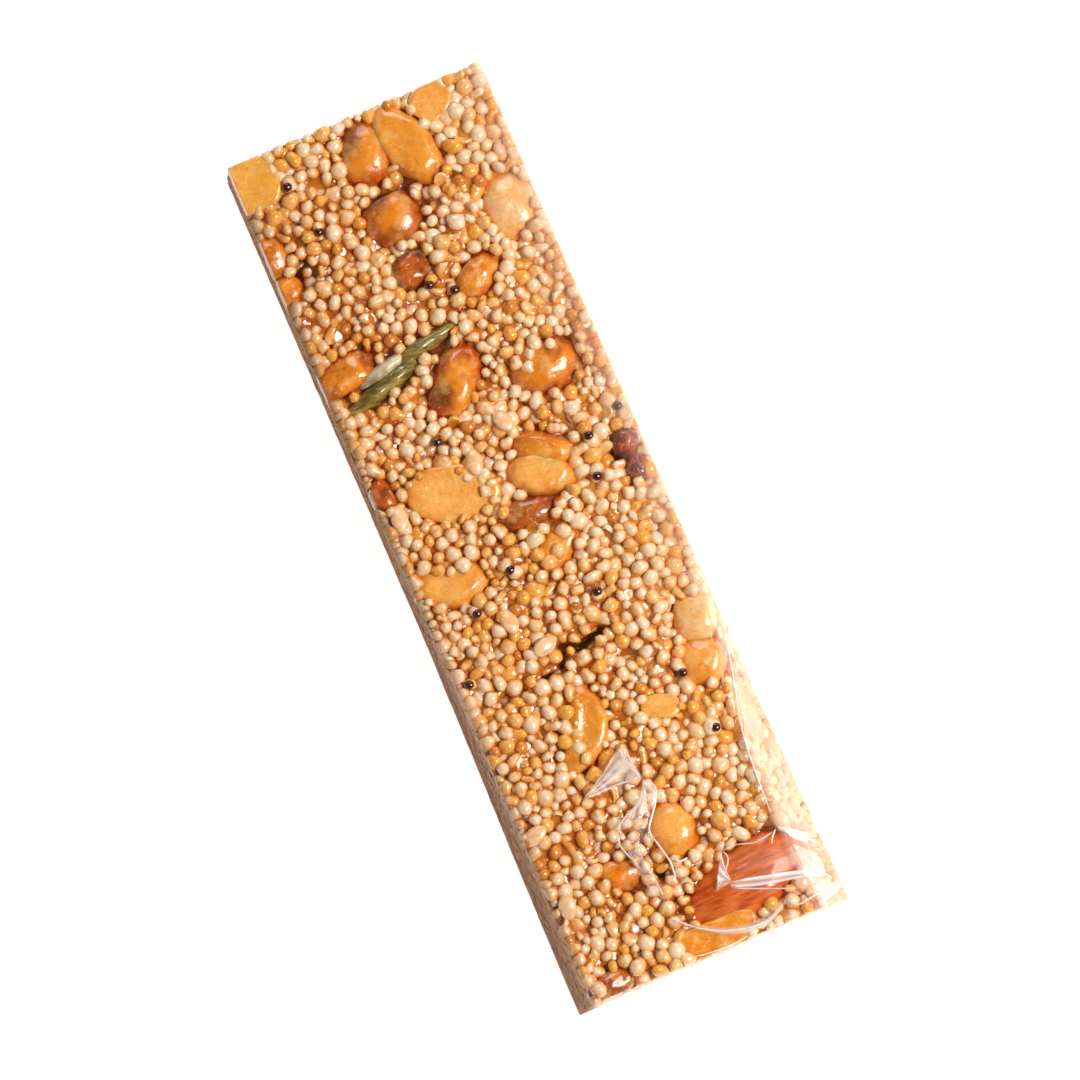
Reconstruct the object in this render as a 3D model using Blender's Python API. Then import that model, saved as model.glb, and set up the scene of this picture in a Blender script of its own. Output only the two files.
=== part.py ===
"""Bar of peanut and puffed grain brittle, sealed in clear wrap.

One solid: the syrup-bound slab with the bumps of its puffed grain, and the
nuts, seeds, raisin, larger grains and wrap pleats that stand out of it.
The bar lies flat, long side along Y, thickness up Z. Sizes are in millimetres
and turned into metres where a mesh is made.
"""
import math
import random
from collections import namedtuple

import bmesh
import bpy
import numpy as np
from mathutils import Matrix, Vector

MM = 0.001

# Driving sizes of the wrapped bar
LENGTH = 140.0
WIDTH_UPPER = 43.0            # towards +Y
WIDTH_LOWER = 44.8            # the wrap flares a little towards -Y
THICKNESS = 14.0

# How the sides lean: the flat top is narrower than the foot
LEFT_INSET_UPPER = 0.5
LEFT_INSET_LOWER = 2.3
RIGHT_INSET_UPPER = 0.6
RIGHT_INSET_LOWER = 5.2       # the long sloped shoulder
SHOULDER_FOOT_UPPER = 0.85    # height fraction where the right side starts to lean
SHOULDER_FOOT_LOWER = 0.35
FOOT_HEIGHT = 1.5             # below this the sides stand straight

# The slab under the pieces
SLAB_TOP = 12.0
SIDE_COVER = 0.5              # how far cut nuts stand proud of the slab's sides
EDGE_ROUND = 0.9
BUMP_TOP = 0.55               # bumps of the puffed grain
BUMP_SIDE = 0.3
ROW_STEP = 2.8
TOP_COLUMNS = 16
SIDE_LEVELS = (0.48, 0.86)

# Loose shapes fused on
SEED = 41
TOP_GRAINS = 66
SIDE_GRAINS = 11              # on each long side
END_GRAINS = 4                # on each end
GRAIN_RADII = (1.55, 1.05)    # largest first
NUT_RING = 10
NUT_RINGS = 6
MERGE_GAP = 0.015             # slivers of the union shorter than this are closed up

Piece = namedtuple("Piece", "name x y length width turn top deep kind")

# Middle of each nut, its size, the turn of its long side from +X in degrees,
# the height of its top, and how thick it is.
PIECES = (
    Piece("nut_corner", -18.6, 66.2, 8.0, 9.4, 0, 13.6, 8.0, "peanut"),
    Piece("nut_left_high", -20.0, 54.6, 7.2, 6.0, 90, 13.5, 7.5, "peanut"),
    Piece("nut_left_low", -20.0, 48.6, 5.6, 6.0, 90, 13.4, 7.0, "peanut"),
    Piece("nut_skinned", -0.7, 63.8, 11.0, 8.2, 75, 14.0, 8.0, "peanut"),
    Piece("half_long", 5.9, 62.3, 15.2, 7.2, -70, 13.7, 6.0, "peanut"),
    Piece("half_top_edge", 11.6, 67.0, 6.0, 5.0, 30, 13.4, 5.0, "peanut"),
    Piece("nut_brown_top", -0.6, 53.3, 9.8, 8.2, 0, 14.0, 8.0, "peanut"),
    Piece("nut_burnt", -0.9, 44.3, 6.8, 5.8, 20, 13.5, 6.0, "burnt"),
    Piece("nut_pale_right", 16.7, 48.0, 12.0, 7.6, 82, 13.7, 7.0, "peanut"),
    Piece("nut_orange", 8.1, 39.8, 9.2, 5.2, 28, 13.6, 6.0, "peanut"),
    Piece("nut_left_middle", -16.6, 32.9, 11.8, 7.2, 15, 13.7, 8.0, "peanut"),
    Piece("nut_glossy", -1.8, 26.0, 13.6, 7.0, 45, 14.0, 7.5, "peanut"),
    Piece("nut_big", 12.0, 22.9, 13.2, 10.2, -8, 13.9, 9.0, "peanut"),
    Piece("pumpkin_high", -4.6, 32.5, 11.5, 2.4, 14, 13.8, 6.5, "pumpkin"),
    Piece("pumpkin_low", -13.2, 29.2, 16.0, 2.8, 18, 13.8, 7.0, "pumpkin"),
    Piece("nut_seam_high", 6.6, 11.0, 10.6, 5.8, -32, 13.9, 8.0, "peanut"),
    Piece("nut_seam_low", 4.7, 7.8, 12.0, 6.4, -26, 13.8, 8.0, "peanut"),
    Piece("half_flat", -9.0, 10.3, 12.8, 9.8, -18, 13.7, 5.0, "peanut"),
    Piece("nut_sunk", 0.6, 2.8, 11.0, 5.0, 0, 13.1, 6.0, "peanut"),
    Piece("half_on_edge", -14.4, -1.4, 13.0, 6.4, -9, 13.8, 8.0, "peanut"),
    Piece("nut_slanted", 2.6, -3.3, 13.0, 5.8, 43, 13.6, 6.5, "peanut"),
    Piece("raisin_high", 18.5, 7.2, 5.0, 4.6, -20, 13.6, 5.0, "raisin"),
    Piece("raisin_low", 18.4, 3.0, 4.6, 4.6, 0, 13.4, 5.0, "raisin"),
    Piece("nut_right_low", 16.2, -25.0, 15.2, 7.2, 72, 13.4, 7.0, "peanut"),
    Piece("half_curved", -5.4, -30.6, 14.4, 6.8, 62, 13.8, 6.0, "peanut"),
    Piece("bit_yellow", 7.2, -32.2, 5.8, 3.4, -15, 13.4, 4.0, "peanut"),
    Piece("nut_round", 1.4, -50.1, 9.8, 7.4, 95, 14.0, 8.0, "peanut"),
    Piece("almond", 9.4, -61.3, 23.6, 11.2, 12, 14.0, 8.0, "almond"),
    Piece("half_lower_edge", 1.4, -67.2, 13.0, 4.4, 0, 13.4, 5.0, "peanut"),
    Piece("nut_lower_corner", -16.2, -68.0, 8.4, 3.8, 0, 13.3, 5.0, "peanut"),
    Piece("bit_small", -3.6, -36.6, 3.8, 2.8, 60, 13.5, 3.5, "peanut"),
    Piece("nut_left_dark", -18.9, 14.2, 6.6, 4.0, 90, 13.0, 6.0, "peanut"),
    Piece("nut_shoulder", 18.6, -38.6, 9.4, 5.4, 80, 11.6, 6.0, "peanut"),
    Piece("nut_amber", -8.2, -53.2, 7.6, 5.2, -20, 13.2, 5.5, "peanut"),
)

# Hulled sesame seeds: place and turn
SESAME = ((2.4, 17.5, 110), (-4.0, 13.3, 80), (-17.9, 9.7, 80), (-8.8, -11.2, 95),
          (-5.2, -16.9, 15), (-18.0, -42.8, 20), (-17.8, -54.5, 80))
SESAME_SIZE = (4.2, 2.5, 1.8)

# Small dark unpopped seeds
DARK_SEEDS = ((-13.6, 63.4), (-11.9, 55.1), (0.4, 40.9), (3.7, 38.7), (-8.0, 18.2),
              (13.6, 10.0), (19.4, 12.5), (12.3, 3.8), (-5.5, -4.2), (-12.8, -8.3),
              (5.3, -12.4), (-18.2, -17.8), (12.3, -28.9), (13.6, -38.5))
DARK_SEED_RADIUS = 0.9

Pleat = namedtuple("Pleat", "name route drop width")

# Pleats of the wrap that stand up in ridges: route over the top, and how far
# the crest lies under the wrap's highest level
PLEATS = (
    Pleat("pleat_shoulder", ((19.2, -22.0), (17.4, -33.0), (16.4, -43.0), (16.2, -55.5)), 0.1, 1.2),
    Pleat("pleat_corner", ((16.0, -55.0), (18.6, -59.6)), 0.2, 1.0),
    Pleat("pleat_bow", ((4.6, -60.6), (9.6, -60.8), (15.6, -63.0), (19.6, -65.4)), 0.0, 1.6),
    Pleat("pleat_fan", ((5.4, -61.0), (7.4, -55.8)), 0.0, 1.4),
    Pleat("pleat_arc", ((-3.4, -62.4), (0.4, -65.4), (5.4, -67.4), (10.4, -67.4), (13.2, -66.2)), 0.3, 1.0),
    Pleat("pleat_pinch_high", ((-8.6, -39.6), (-2.4, -40.4), (1.4, -43.0), (-1.4, -46.0), (-6.6, -48.0)), 0.1, 1.2),
    Pleat("pleat_pinch_low", ((-6.2, -48.6), (-1.8, -49.2), (-1.0, -54.0), (-0.8, -58.4)), 0.1, 1.0),
)
PLEAT_DEPTH = 4.0             # ridges reach down into the slab
PLEAT_END_DROP = 1.4

Finish = namedtuple("Finish", "color roughness")
FINISHES = {
    "wrapped_bar": Finish((0.62, 0.33, 0.11), 0.25),
    "puffed_grain": Finish((0.86, 0.68, 0.44), 0.45),
    "peanut": Finish((0.80, 0.47, 0.15), 0.30),
    "burnt": Finish((0.28, 0.08, 0.02), 0.25),
    "pumpkin": Finish((0.20, 0.17, 0.05), 0.35),
    "raisin": Finish((0.25, 0.04, 0.02), 0.30),
    "almond": Finish((0.42, 0.12, 0.04), 0.40),
    "sesame": Finish((0.85, 0.66, 0.40), 0.45),
    "dark_seed": Finish((0.05, 0.02, 0.02), 0.20),
    "wrap_pleat": Finish((0.90, 0.84, 0.78), 0.15),
}


def clear_scene():
    for obj in list(bpy.data.objects):
        bpy.data.objects.remove(obj, do_unlink=True)


def make_material(name):
    finish = FINISHES[name]
    material = bpy.data.materials.new(name)
    material.use_nodes = True
    shader = material.node_tree.nodes["Principled BSDF"]
    shader.inputs["Base Color"].default_value = (*finish.color, 1.0)
    shader.inputs["Roughness"].default_value = finish.roughness
    shader.inputs["Metallic"].default_value = 0.0
    return material


def make_object(name, mesh_maker, finish, collection):
    """New object whose mesh is drawn in millimetres and kept in metres."""
    mesh = bpy.data.meshes.new(name)
    drawing = bmesh.new()
    mesh_maker(drawing)
    bmesh.ops.triangulate(drawing, faces=drawing.faces)
    bmesh.ops.recalc_face_normals(drawing, faces=drawing.faces)
    bmesh.ops.scale(drawing, vec=(MM, MM, MM), verts=drawing.verts)
    drawing.to_mesh(mesh)
    drawing.free()
    mesh.materials.append(finish)
    obj = bpy.data.objects.new(name, mesh)
    collection.objects.link(obj)
    return obj


def ease(value, start, end):
    """0 at start, 1 at end, with a soft run between."""
    t = min(max((value - start) / (end - start), 0.0), 1.0)
    return t * t * (3.0 - 2.0 * t)


# The wrap's outline

def foot_half_width(y):
    return (WIDTH_UPPER + (WIDTH_LOWER - WIDTH_UPPER) * ease(y, 0.0, -LENGTH / 2)) / 2


def left_x(y, z):
    inset = LEFT_INSET_UPPER + (LEFT_INSET_LOWER - LEFT_INSET_UPPER) * ease(y, 30.0, -60.0)
    return -foot_half_width(y) + inset * max(z - FOOT_HEIGHT, 0.0) / (THICKNESS - FOOT_HEIGHT)


def right_x(y, z):
    lower = ease(y, -8.0, -44.0)
    inset = RIGHT_INSET_UPPER + (RIGHT_INSET_LOWER - RIGHT_INSET_UPPER) * lower
    foot = SHOULDER_FOOT_UPPER + (SHOULDER_FOOT_LOWER - SHOULDER_FOOT_UPPER) * lower
    lean = min(max((z / THICKNESS - foot) / (1.0 - foot), 0.0), 1.0)
    return foot_half_width(y) - inset * lean


def keep_inside_wrap(point):
    """Pieces that the bar was cut through end flush with the wrap."""
    y = min(max(point.y, -LENGTH / 2 + 0.15), LENGTH / 2 - 0.15)
    z = max(point.z, 1.0)
    x = min(max(point.x, left_x(y, z) + 0.05), right_x(y, z) - 0.05)
    return Vector((x, y, z))


# The slab

def slab_section(y, inset, rng, row):
    """Outline at one y: up the left side, over the bumpy top, down the right."""
    def bump(column, size):
        if inset:
            return 0.0
        sign = 1.0 if (row + column) % 2 else -0.8
        return size * (sign + rng.uniform(-0.35, 0.35))

    cover = SIDE_COVER + inset
    top = SLAB_TOP - inset
    foot = foot_half_width(y) - inset
    points = [(-foot + EDGE_ROUND, 0.0), (-foot, FOOT_HEIGHT)]
    for index, level in enumerate(SIDE_LEVELS):
        z = level * top
        points.append((left_x(y, z) + cover - bump(index, BUMP_SIDE), z))
    first, last = left_x(y, top) + cover + EDGE_ROUND, right_x(y, top) - cover - EDGE_ROUND
    spacing = (last - first) / (TOP_COLUMNS - 1)
    for column in range(TOP_COLUMNS):
        at_edge = column in (0, TOP_COLUMNS - 1)
        shift = 0.0 if at_edge else rng.uniform(-0.2, 0.2) * spacing
        sunk = 0.35 if at_edge else 0.0
        points.append((first + column * spacing + shift, top - sunk + bump(column, BUMP_TOP)))
    for index, level in reversed(tuple(enumerate(SIDE_LEVELS))):
        z = level * top
        points.append((right_x(y, z) - cover + bump(index + 1, BUMP_SIDE), z))
    return points + [(foot, FOOT_HEIGHT), (foot - EDGE_ROUND, 0.0)]


def draw_slab(drawing):
    rng = random.Random(SEED)
    half = LENGTH / 2
    rows = round((LENGTH - 2 * EDGE_ROUND) / ROW_STEP)
    stations = [(-half, EDGE_ROUND)]
    for row in range(rows + 1):
        y = -half + EDGE_ROUND + row * (LENGTH - 2 * EDGE_ROUND) / rows
        stations.append((y, 0.0))
    stations.append((half, EDGE_ROUND))
    rings = []
    for row, (y, inset) in enumerate(stations):
        inner = 0 < row < len(stations) - 1
        ring = []
        for x, z in slab_section(y, inset, rng, row):
            jitter = rng.uniform(-0.25, 0.25) if inner and z > FOOT_HEIGHT else 0.0
            ring.append(drawing.verts.new((x, y + jitter, z)))
        rings.append(ring)
    for ring, following in zip(rings, rings[1:]):
        count = len(ring)
        for i in range(count):
            j = (i + 1) % count
            drawing.faces.new((ring[i], ring[j], following[j], following[i]))
    for ring in (rings[0], rings[-1]):
        middle = drawing.verts.new((0.0, ring[0].co.y, SLAB_TOP / 2))
        for vert, following in zip(ring, ring[1:] + ring[:1]):
            drawing.faces.new((vert, following, middle))


# The pieces

def turned(x, y, turn):
    return Matrix.Translation((x, y, 0.0)) @ Matrix.Rotation(math.radians(turn), 4, "Z")


def close_hull(drawing, points):
    """Closed convex piece round the points, kept inside the wrap."""
    for point in points:
        drawing.verts.new(keep_inside_wrap(point))
    bmesh.ops.remove_doubles(drawing, verts=drawing.verts, dist=0.05)
    hull = bmesh.ops.convex_hull(drawing, input=drawing.verts)
    spare = {vert for vert in hull["geom_interior"] + hull["geom_unused"] if isinstance(vert, bmesh.types.BMVert)}
    bmesh.ops.delete(drawing, geom=list(spare), context="VERTS")


def draw_nut(piece, rng):
    """Rings along the length, each a slightly uneven oval."""
    def draw(drawing):
        place = turned(piece.x, piece.y, piece.turn)
        middle_z = piece.top - piece.deep / 2
        pointed = 0.34 if piece.kind == "almond" else 0.0
        fullness = 0.8 if piece.kind == "peanut" else 1.0
        points = [(piece.length / 2, 0.0, middle_z), (-piece.length / 2, 0.0, middle_z)]
        for ring in range(1, NUT_RINGS):
            along = math.cos(math.pi * ring / NUT_RINGS)
            swell = (1.0 - along * along) ** (0.5 * fullness) * (1.0 - pointed * max(along, 0.0) ** 2)
            for step in range(NUT_RING):
                angle = 2 * math.pi * (step + 0.5 * (ring % 2)) / NUT_RING
                uneven = 1.0 + rng.uniform(-0.04, 0.04)
                points.append((along * piece.length / 2,
                               swell * math.cos(angle) * piece.width / 2 * uneven,
                               middle_z + swell * math.sin(angle) * piece.deep / 2))
        close_hull(drawing, [place @ Vector(point) for point in points])
    return draw


def draw_ball(center, radii, turn, rng):
    """Ball of twenty sides, for grains and seeds."""
    def draw(drawing):
        axis = Vector((rng.uniform(-1, 1), rng.uniform(-1, 1), 1.0))
        spin = Matrix.Rotation(rng.uniform(0, math.tau), 4, axis)
        place = Matrix.Translation(center) @ Matrix.Rotation(math.radians(turn), 4, "Z")
        shape = place @ Matrix.Diagonal((*radii, 1.0)) @ spin
        ball = bmesh.new()
        bmesh.ops.create_icosphere(ball, subdivisions=1, radius=1.0, matrix=shape)
        points = [vert.co.copy() for vert in ball.verts]
        ball.free()
        close_hull(drawing, points)
    return draw


def wrap_height(x, y):
    """Height of the wrap over a place on the top or on the sloped shoulder."""
    if x <= right_x(y, THICKNESS):
        return THICKNESS
    low, high = 0.0, THICKNESS
    for _ in range(24):
        middle = (low + high) / 2
        if right_x(y, middle) > x:
            low = middle
        else:
            high = middle
    return low


def draw_pleat(pleat):
    """Ridge that is wide at its foot, thin at its crest and dies out at both ends."""
    def draw(drawing):
        route = [Vector(point) for point in pleat.route]
        rings = []
        for index, point in enumerate(route):
            before, after = route[max(index - 1, 0)], route[min(index + 1, len(route) - 1)]
            across = (after - before).normalized().orthogonal()
            at_end = index in (0, len(route) - 1)
            crest = wrap_height(point.x, point.y) - (PLEAT_END_DROP if at_end else pleat.drop)
            foot = crest - PLEAT_DEPTH
            corners = []
            for side, z in ((-1.0, foot), (-0.25, crest), (0.25, crest), (1.0, foot)):
                flat = point + across * side * pleat.width / 2
                corners.append(drawing.verts.new((flat.x, flat.y, z)))
            rings.append(corners)
        for ring, following in zip(rings, rings[1:]):
            for i in range(4):
                j = (i + 1) % 4
                drawing.faces.new((ring[i], ring[j], following[j], following[i]))
        drawing.faces.new(rings[0])
        drawing.faces.new(list(reversed(rings[-1])))
    return draw


# The larger grains, spread evenly where no nut lies

def free_of_nuts(x, y, margin):
    for piece in PIECES:
        local = turned(piece.x, piece.y, piece.turn).inverted() @ Vector((x, y, 0.0))
        reach = (local.x / (piece.length / 2 + margin)) ** 2 + (local.y / (piece.width / 2 + margin)) ** 2
        if reach < 1.0:
            return False
    return True


def spread(count, draw_place, allowed, tries=40):
    """Each new place is the one of several draws that lies furthest from the others."""
    places = []
    for _ in range(count):
        best, best_gap = None, -1.0
        for _ in range(tries):
            place = draw_place()
            if not allowed(place):
                continue
            gap = min((math.dist(place, other) for other in places), default=1e9)
            if gap > best_gap:
                best, best_gap = place, gap
        if best:
            places.append(best)
    return places


def grain_places(rng):
    half = LENGTH / 2

    def on_top():
        y = rng.uniform(-half + 2, half - 2)
        return (rng.uniform(left_x(y, SLAB_TOP) + 2, right_x(y, SLAB_TOP) - 2), y, SLAB_TOP + 0.3)

    def beside(edge_x, inward):
        y = rng.uniform(-half + 3, half - 3)
        z = rng.uniform(2.5, SLAB_TOP - 1.5)
        return (edge_x(y, z) + inward * (SIDE_COVER + 0.45), y, z)

    places = spread(TOP_GRAINS, on_top, lambda place: free_of_nuts(place[0], place[1], 1.0))
    places += spread(SIDE_GRAINS, lambda: beside(left_x, 1.0), lambda place: True)
    places += spread(SIDE_GRAINS, lambda: beside(right_x, -1.0), lambda place: True)
    for end in (-1.0, 1.0):
        def at_end():
            z = rng.uniform(2.5, SLAB_TOP - 1.5)
            return (rng.uniform(-18.0, 18.0), end * (half - 0.75), z)
        places += spread(END_GRAINS, at_end, lambda place: True)
    return places


# Joining

def largest_shell(mesh):
    """Keep the outer shell: sealed hollows are filled and loose scraps dropped."""
    drawing = bmesh.new()
    drawing.from_mesh(mesh)
    bmesh.ops.remove_doubles(drawing, verts=drawing.verts, dist=MERGE_GAP * MM)
    left = set(drawing.verts)
    shells = []
    while left:
        shell, edge = set(), [left.pop()]
        while edge:
            vert = edge.pop()
            shell.add(vert)
            for other in (link.other_vert(vert) for link in vert.link_edges):
                if other in left:
                    left.discard(other)
                    edge.append(other)
        shells.append(shell)
    shells.sort(key=len)
    scraps = [vert for shell in shells[:-1] for vert in shell]
    bmesh.ops.delete(drawing, geom=scraps, context="VERTS")
    bmesh.ops.triangulate(drawing, faces=drawing.faces)
    drawing.to_mesh(mesh)
    drawing.free()


def fuse(base, pieces):
    """One union of the base with everything in the collection, applied."""
    union = base.modifiers.new("fuse_pieces", "BOOLEAN")
    union.operation = "UNION"
    union.operand_type = "COLLECTION"
    union.collection = pieces
    union.solver = "EXACT"
    union.material_mode = "TRANSFER"
    depsgraph = bpy.context.evaluated_depsgraph_get()
    joined = bpy.data.meshes.new_from_object(base.evaluated_get(depsgraph))
    base.modifiers.clear()
    base.data = joined
    for obj in list(pieces.objects):
        bpy.data.objects.remove(obj, do_unlink=True)
    bpy.data.collections.remove(pieces)
    largest_shell(joined)
    joined.shade_smooth()
    joined.set_sharp_from_angle(angle=math.radians(40))


def build_bar():
    finishes = {name: make_material(name) for name in FINISHES}
    scene_collection = bpy.context.scene.collection
    pieces = bpy.data.collections.new("pieces")
    scene_collection.children.link(pieces)
    rng = random.Random(SEED)

    bar = make_object("wrapped_bar", draw_slab, finishes["wrapped_bar"], scene_collection)
    for piece in PIECES:
        make_object(piece.name, draw_nut(piece, rng), finishes[piece.kind], pieces)
    for index, (x, y, turn) in enumerate(SESAME):
        radii = [size / 2 for size in SESAME_SIZE]
        seed = draw_ball((x, y, SLAB_TOP + 0.9), radii, turn, rng)
        make_object(f"sesame_{index}", seed, finishes["sesame"], pieces)
    for index, (x, y) in enumerate(DARK_SEEDS):
        seed = draw_ball((x, y, SLAB_TOP + 0.8), (DARK_SEED_RADIUS,) * 3, 0, rng)
        make_object(f"dark_seed_{index}", seed, finishes["dark_seed"], pieces)
    places = grain_places(rng)
    for index, place in enumerate(places):
        radius = np.interp(index % TOP_GRAINS, (0, TOP_GRAINS), GRAIN_RADII)
        radii = [radius * rng.uniform(0.9, 1.1) for _ in range(3)]
        grain = draw_ball(place, radii, rng.uniform(0, 180), rng)
        make_object(f"grain_{index}", grain, finishes["puffed_grain"], pieces)
    for pleat in PLEATS:
        make_object(pleat.name, draw_pleat(pleat), finishes["wrap_pleat"], pieces)
    fuse(bar, pieces)


clear_scene()
build_bar()
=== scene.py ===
import math
import random

import bmesh
import bpy
import numpy as np
from mathutils import Matrix, Vector, noise


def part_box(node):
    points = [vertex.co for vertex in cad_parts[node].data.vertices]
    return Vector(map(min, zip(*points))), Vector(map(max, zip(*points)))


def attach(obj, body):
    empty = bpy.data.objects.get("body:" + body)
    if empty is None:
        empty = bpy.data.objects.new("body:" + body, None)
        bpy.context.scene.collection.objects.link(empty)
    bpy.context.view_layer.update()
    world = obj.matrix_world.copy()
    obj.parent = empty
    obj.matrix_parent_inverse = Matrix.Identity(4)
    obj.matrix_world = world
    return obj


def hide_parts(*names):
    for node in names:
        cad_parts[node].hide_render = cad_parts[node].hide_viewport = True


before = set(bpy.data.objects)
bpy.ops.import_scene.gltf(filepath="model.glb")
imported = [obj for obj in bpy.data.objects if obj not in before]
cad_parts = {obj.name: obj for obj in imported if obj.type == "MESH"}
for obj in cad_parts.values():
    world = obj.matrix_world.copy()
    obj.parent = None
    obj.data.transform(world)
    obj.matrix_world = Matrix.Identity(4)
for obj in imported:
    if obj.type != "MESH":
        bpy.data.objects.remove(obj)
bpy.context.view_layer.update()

barLow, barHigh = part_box("wrapped_bar")

mm = 0.001
barLength = (barHigh.y - barLow.y) / mm
barThick = (barHigh.z - barLow.z) / mm
barWidth = (barHigh.x - barLow.x) / mm      # at the lower end, where the wrap flares
halfLength = barLength / 2

# How the wrap leans in, in millimetres, as in the solid
wrap = {
    "narrower at the upper end": 1.8,
    "left lean": (0.5, 2.3),                # upper end, lower end
    "right lean": (0.6, 5.2),               # the long sloped shoulder
    "shoulder starts at": (0.85, 0.35),     # share of the height
    "straight foot": 1.5,
}


# sums that the whole script uses

def ease(value, start, end):
    t = np.clip((np.asarray(value, float) - start) / (end - start), 0.0, 1.0)
    return t * t * (3.0 - 2.0 * t)


def between(pair, share):
    return pair[0] + (pair[1] - pair[0]) * share


def footHalfWidth(y):
    return (barWidth - wrap["narrower at the upper end"] * (1 - ease(y, 0.0, -halfLength))) / 2


def leftX(y, z):
    foot = wrap["straight foot"]
    inset = between(wrap["left lean"], ease(y, 30.0, -60.0))
    return -footHalfWidth(y) + inset * np.maximum(z - foot, 0.0) / (barThick - foot)


def rightX(y, z):
    lower = ease(y, -8.0, -44.0)
    start = between(wrap["shoulder starts at"], lower)
    lean = np.clip((np.asarray(z, float) / barThick - start) / (1.0 - start), 0.0, 1.0)
    return footHalfWidth(y) - between(wrap["right lean"], lower) * lean


def wrapHeight(x, y):
    # on the sloped shoulder the wrap is lower than on the flat top
    lower = ease(y, -8.0, -44.0)
    start = between(wrap["shoulder starts at"], lower)
    out = (footHalfWidth(y) - np.asarray(x, float)) / between(wrap["right lean"], lower)
    return barThick * (1.0 - (1.0 - start) * np.clip(1.0 - out, 0.0, 1.0))


def depthUnderWrap(points):
    # how deep each point lies under the nearest face of the wrap
    x, y, z = points[:, 0], points[:, 1], points[:, 2]
    sides = np.minimum(x - leftX(y, z), rightX(y, z) - x)
    return np.minimum.reduce([wrapHeight(x, y) - z, sides, halfLength - np.abs(y), z])


def smoothNoise(points, size, seed=0.0):
    shift = Vector((seed * 17.3, seed * 5.1, seed * 29.7))
    return np.array([noise.noise(Vector(p) / size + shift) for p in points])


def rotationTo(turn):
    a = math.radians(turn)
    return np.array([[math.cos(a), -math.sin(a)], [math.sin(a), math.cos(a)]])


# meshes, node trees and modifiers

def meshObject(name, points, faces, attributes=None, smooth=True):
    # points come in millimetres
    mesh = bpy.data.meshes.new(name)
    mesh.from_pydata([tuple(p) for p in np.asarray(points) * mm], [], faces)
    for label, values in (attributes or {}).items():
        values = np.asarray(values, np.float32)
        kind = {1: "FLOAT", 2: "FLOAT_COLOR"}[values.ndim]
        layer = mesh.attributes.new(label, kind, "POINT")
        if values.ndim == 2:
            values = np.hstack([values, np.ones((len(values), 1), np.float32)])
        layer.data.foreach_set("value" if kind == "FLOAT" else "color", values.ravel())
    if smooth:
        mesh.shade_smooth()
    obj = bpy.data.objects.new(name, mesh)
    bpy.context.scene.collection.objects.link(obj)
    return obj


def facesOutward(obj):
    drawing = bmesh.new()
    drawing.from_mesh(obj.data)
    bmesh.ops.recalc_face_normals(drawing, faces=drawing.faces)
    drawing.to_mesh(obj.data)
    drawing.free()


class Wire:
    # one socket of a node tree; sums on it add their Math nodes
    def __init__(self, tree, socket=None):
        self.tree, self.socket = tree, socket

    def make(self, kind, settings=None, sockets=None, out=0):
        node = self.tree.nodes.new(kind)
        for label, value in (settings or {}).items():
            setattr(node, label, value)
        for key, value in (sockets or {}).items():
            socket = pick(node.inputs, key)
            if isinstance(value, Wire):
                self.tree.links.new(value.socket, socket)
            else:
                if socket.type == "RGBA" and len(value) == 3:
                    value = (*value, 1.0)
                socket.default_value = value
        return Wire(self.tree, pick(node.outputs, out))

    def math(self, operation, *values):
        return self.make("ShaderNodeMath", {"operation": operation}, dict(enumerate(values)))

    def __add__(self, other):
        return self.math("ADD", self, other)

    def __radd__(self, other):
        return self.math("ADD", other, self)

    def __sub__(self, other):
        return self.math("SUBTRACT", self, other)

    def __rsub__(self, other):
        return self.math("SUBTRACT", other, self)

    def __mul__(self, other):
        return self.math("MULTIPLY", self, other)

    def __rmul__(self, other):
        return self.math("MULTIPLY", other, self)

    def __truediv__(self, other):
        return self.math("DIVIDE", self, other)

    def within(self, start, end):
        # 0 before start, 1 after end
        sockets = {"Value": self, "From Min": start, "From Max": end}
        return self.make("ShaderNodeMapRange", {"interpolation_type": "SMOOTHSTEP"}, sockets)


def pick(sockets, key):
    if isinstance(key, int):
        return sockets[key]
    return next(s for s in sockets if key in (s.identifier, s.name))


def mixColors(share, first, second):
    anyWire = next(w for w in (share, first, second) if isinstance(w, Wire))
    sockets = {"Factor_Float": share, "A_Color": first, "B_Color": second}
    return anyWire.make("ShaderNodeMix", {"data_type": "RGBA"}, sockets, "Result_Color")


def newMaterial(name):
    material = bpy.data.materials.new(name)
    material.use_nodes = True
    material.node_tree.nodes.clear()
    return material, Wire(material.node_tree)


def attributeValue(wire, name, out="Fac"):
    return wire.make("ShaderNodeAttribute", {"attribute_name": name}, out=out)


def noiseAt(wire, size, detail=2.0, roughness=0.5, stretch=None):
    # size is the length of one lump in millimetres
    place = wire.make("ShaderNodeTexCoord", out="Object")
    if stretch:
        place = wire.make("ShaderNodeMapping", {"vector_type": "POINT"}, {"Vector": place, **stretch})
    sockets = {"Vector": place, "Scale": 1.0 / (size * mm), "Detail": detail, "Roughness": roughness}
    return wire.make("ShaderNodeTexNoise", {}, sockets)


def alongAxis(wire, axis):
    # the place on that axis of the bar in millimetres
    place = wire.make("ShaderNodeTexCoord", out="Object")
    return wire.make("ShaderNodeSeparateXYZ", {}, {0: place}, axis) * (1 / mm)


def surface(wire, color, roughness, extra=None, bumps=()):
    # bumps is a list of (height wire, how strong, how deep in millimetres)
    sockets = {"Base Color": color, "Roughness": roughness, **(extra or {})}
    normal = None
    for height, strength, depth in bumps:
        bump = {"Height": height, "Strength": strength, "Distance": depth * mm}
        if normal:
            bump["Normal"] = normal
        normal = wire.make("ShaderNodeBump", {}, bump)
    if normal:
        sockets["Normal"] = normal
    return wire.make("ShaderNodeBsdfPrincipled", {}, sockets)


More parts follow.
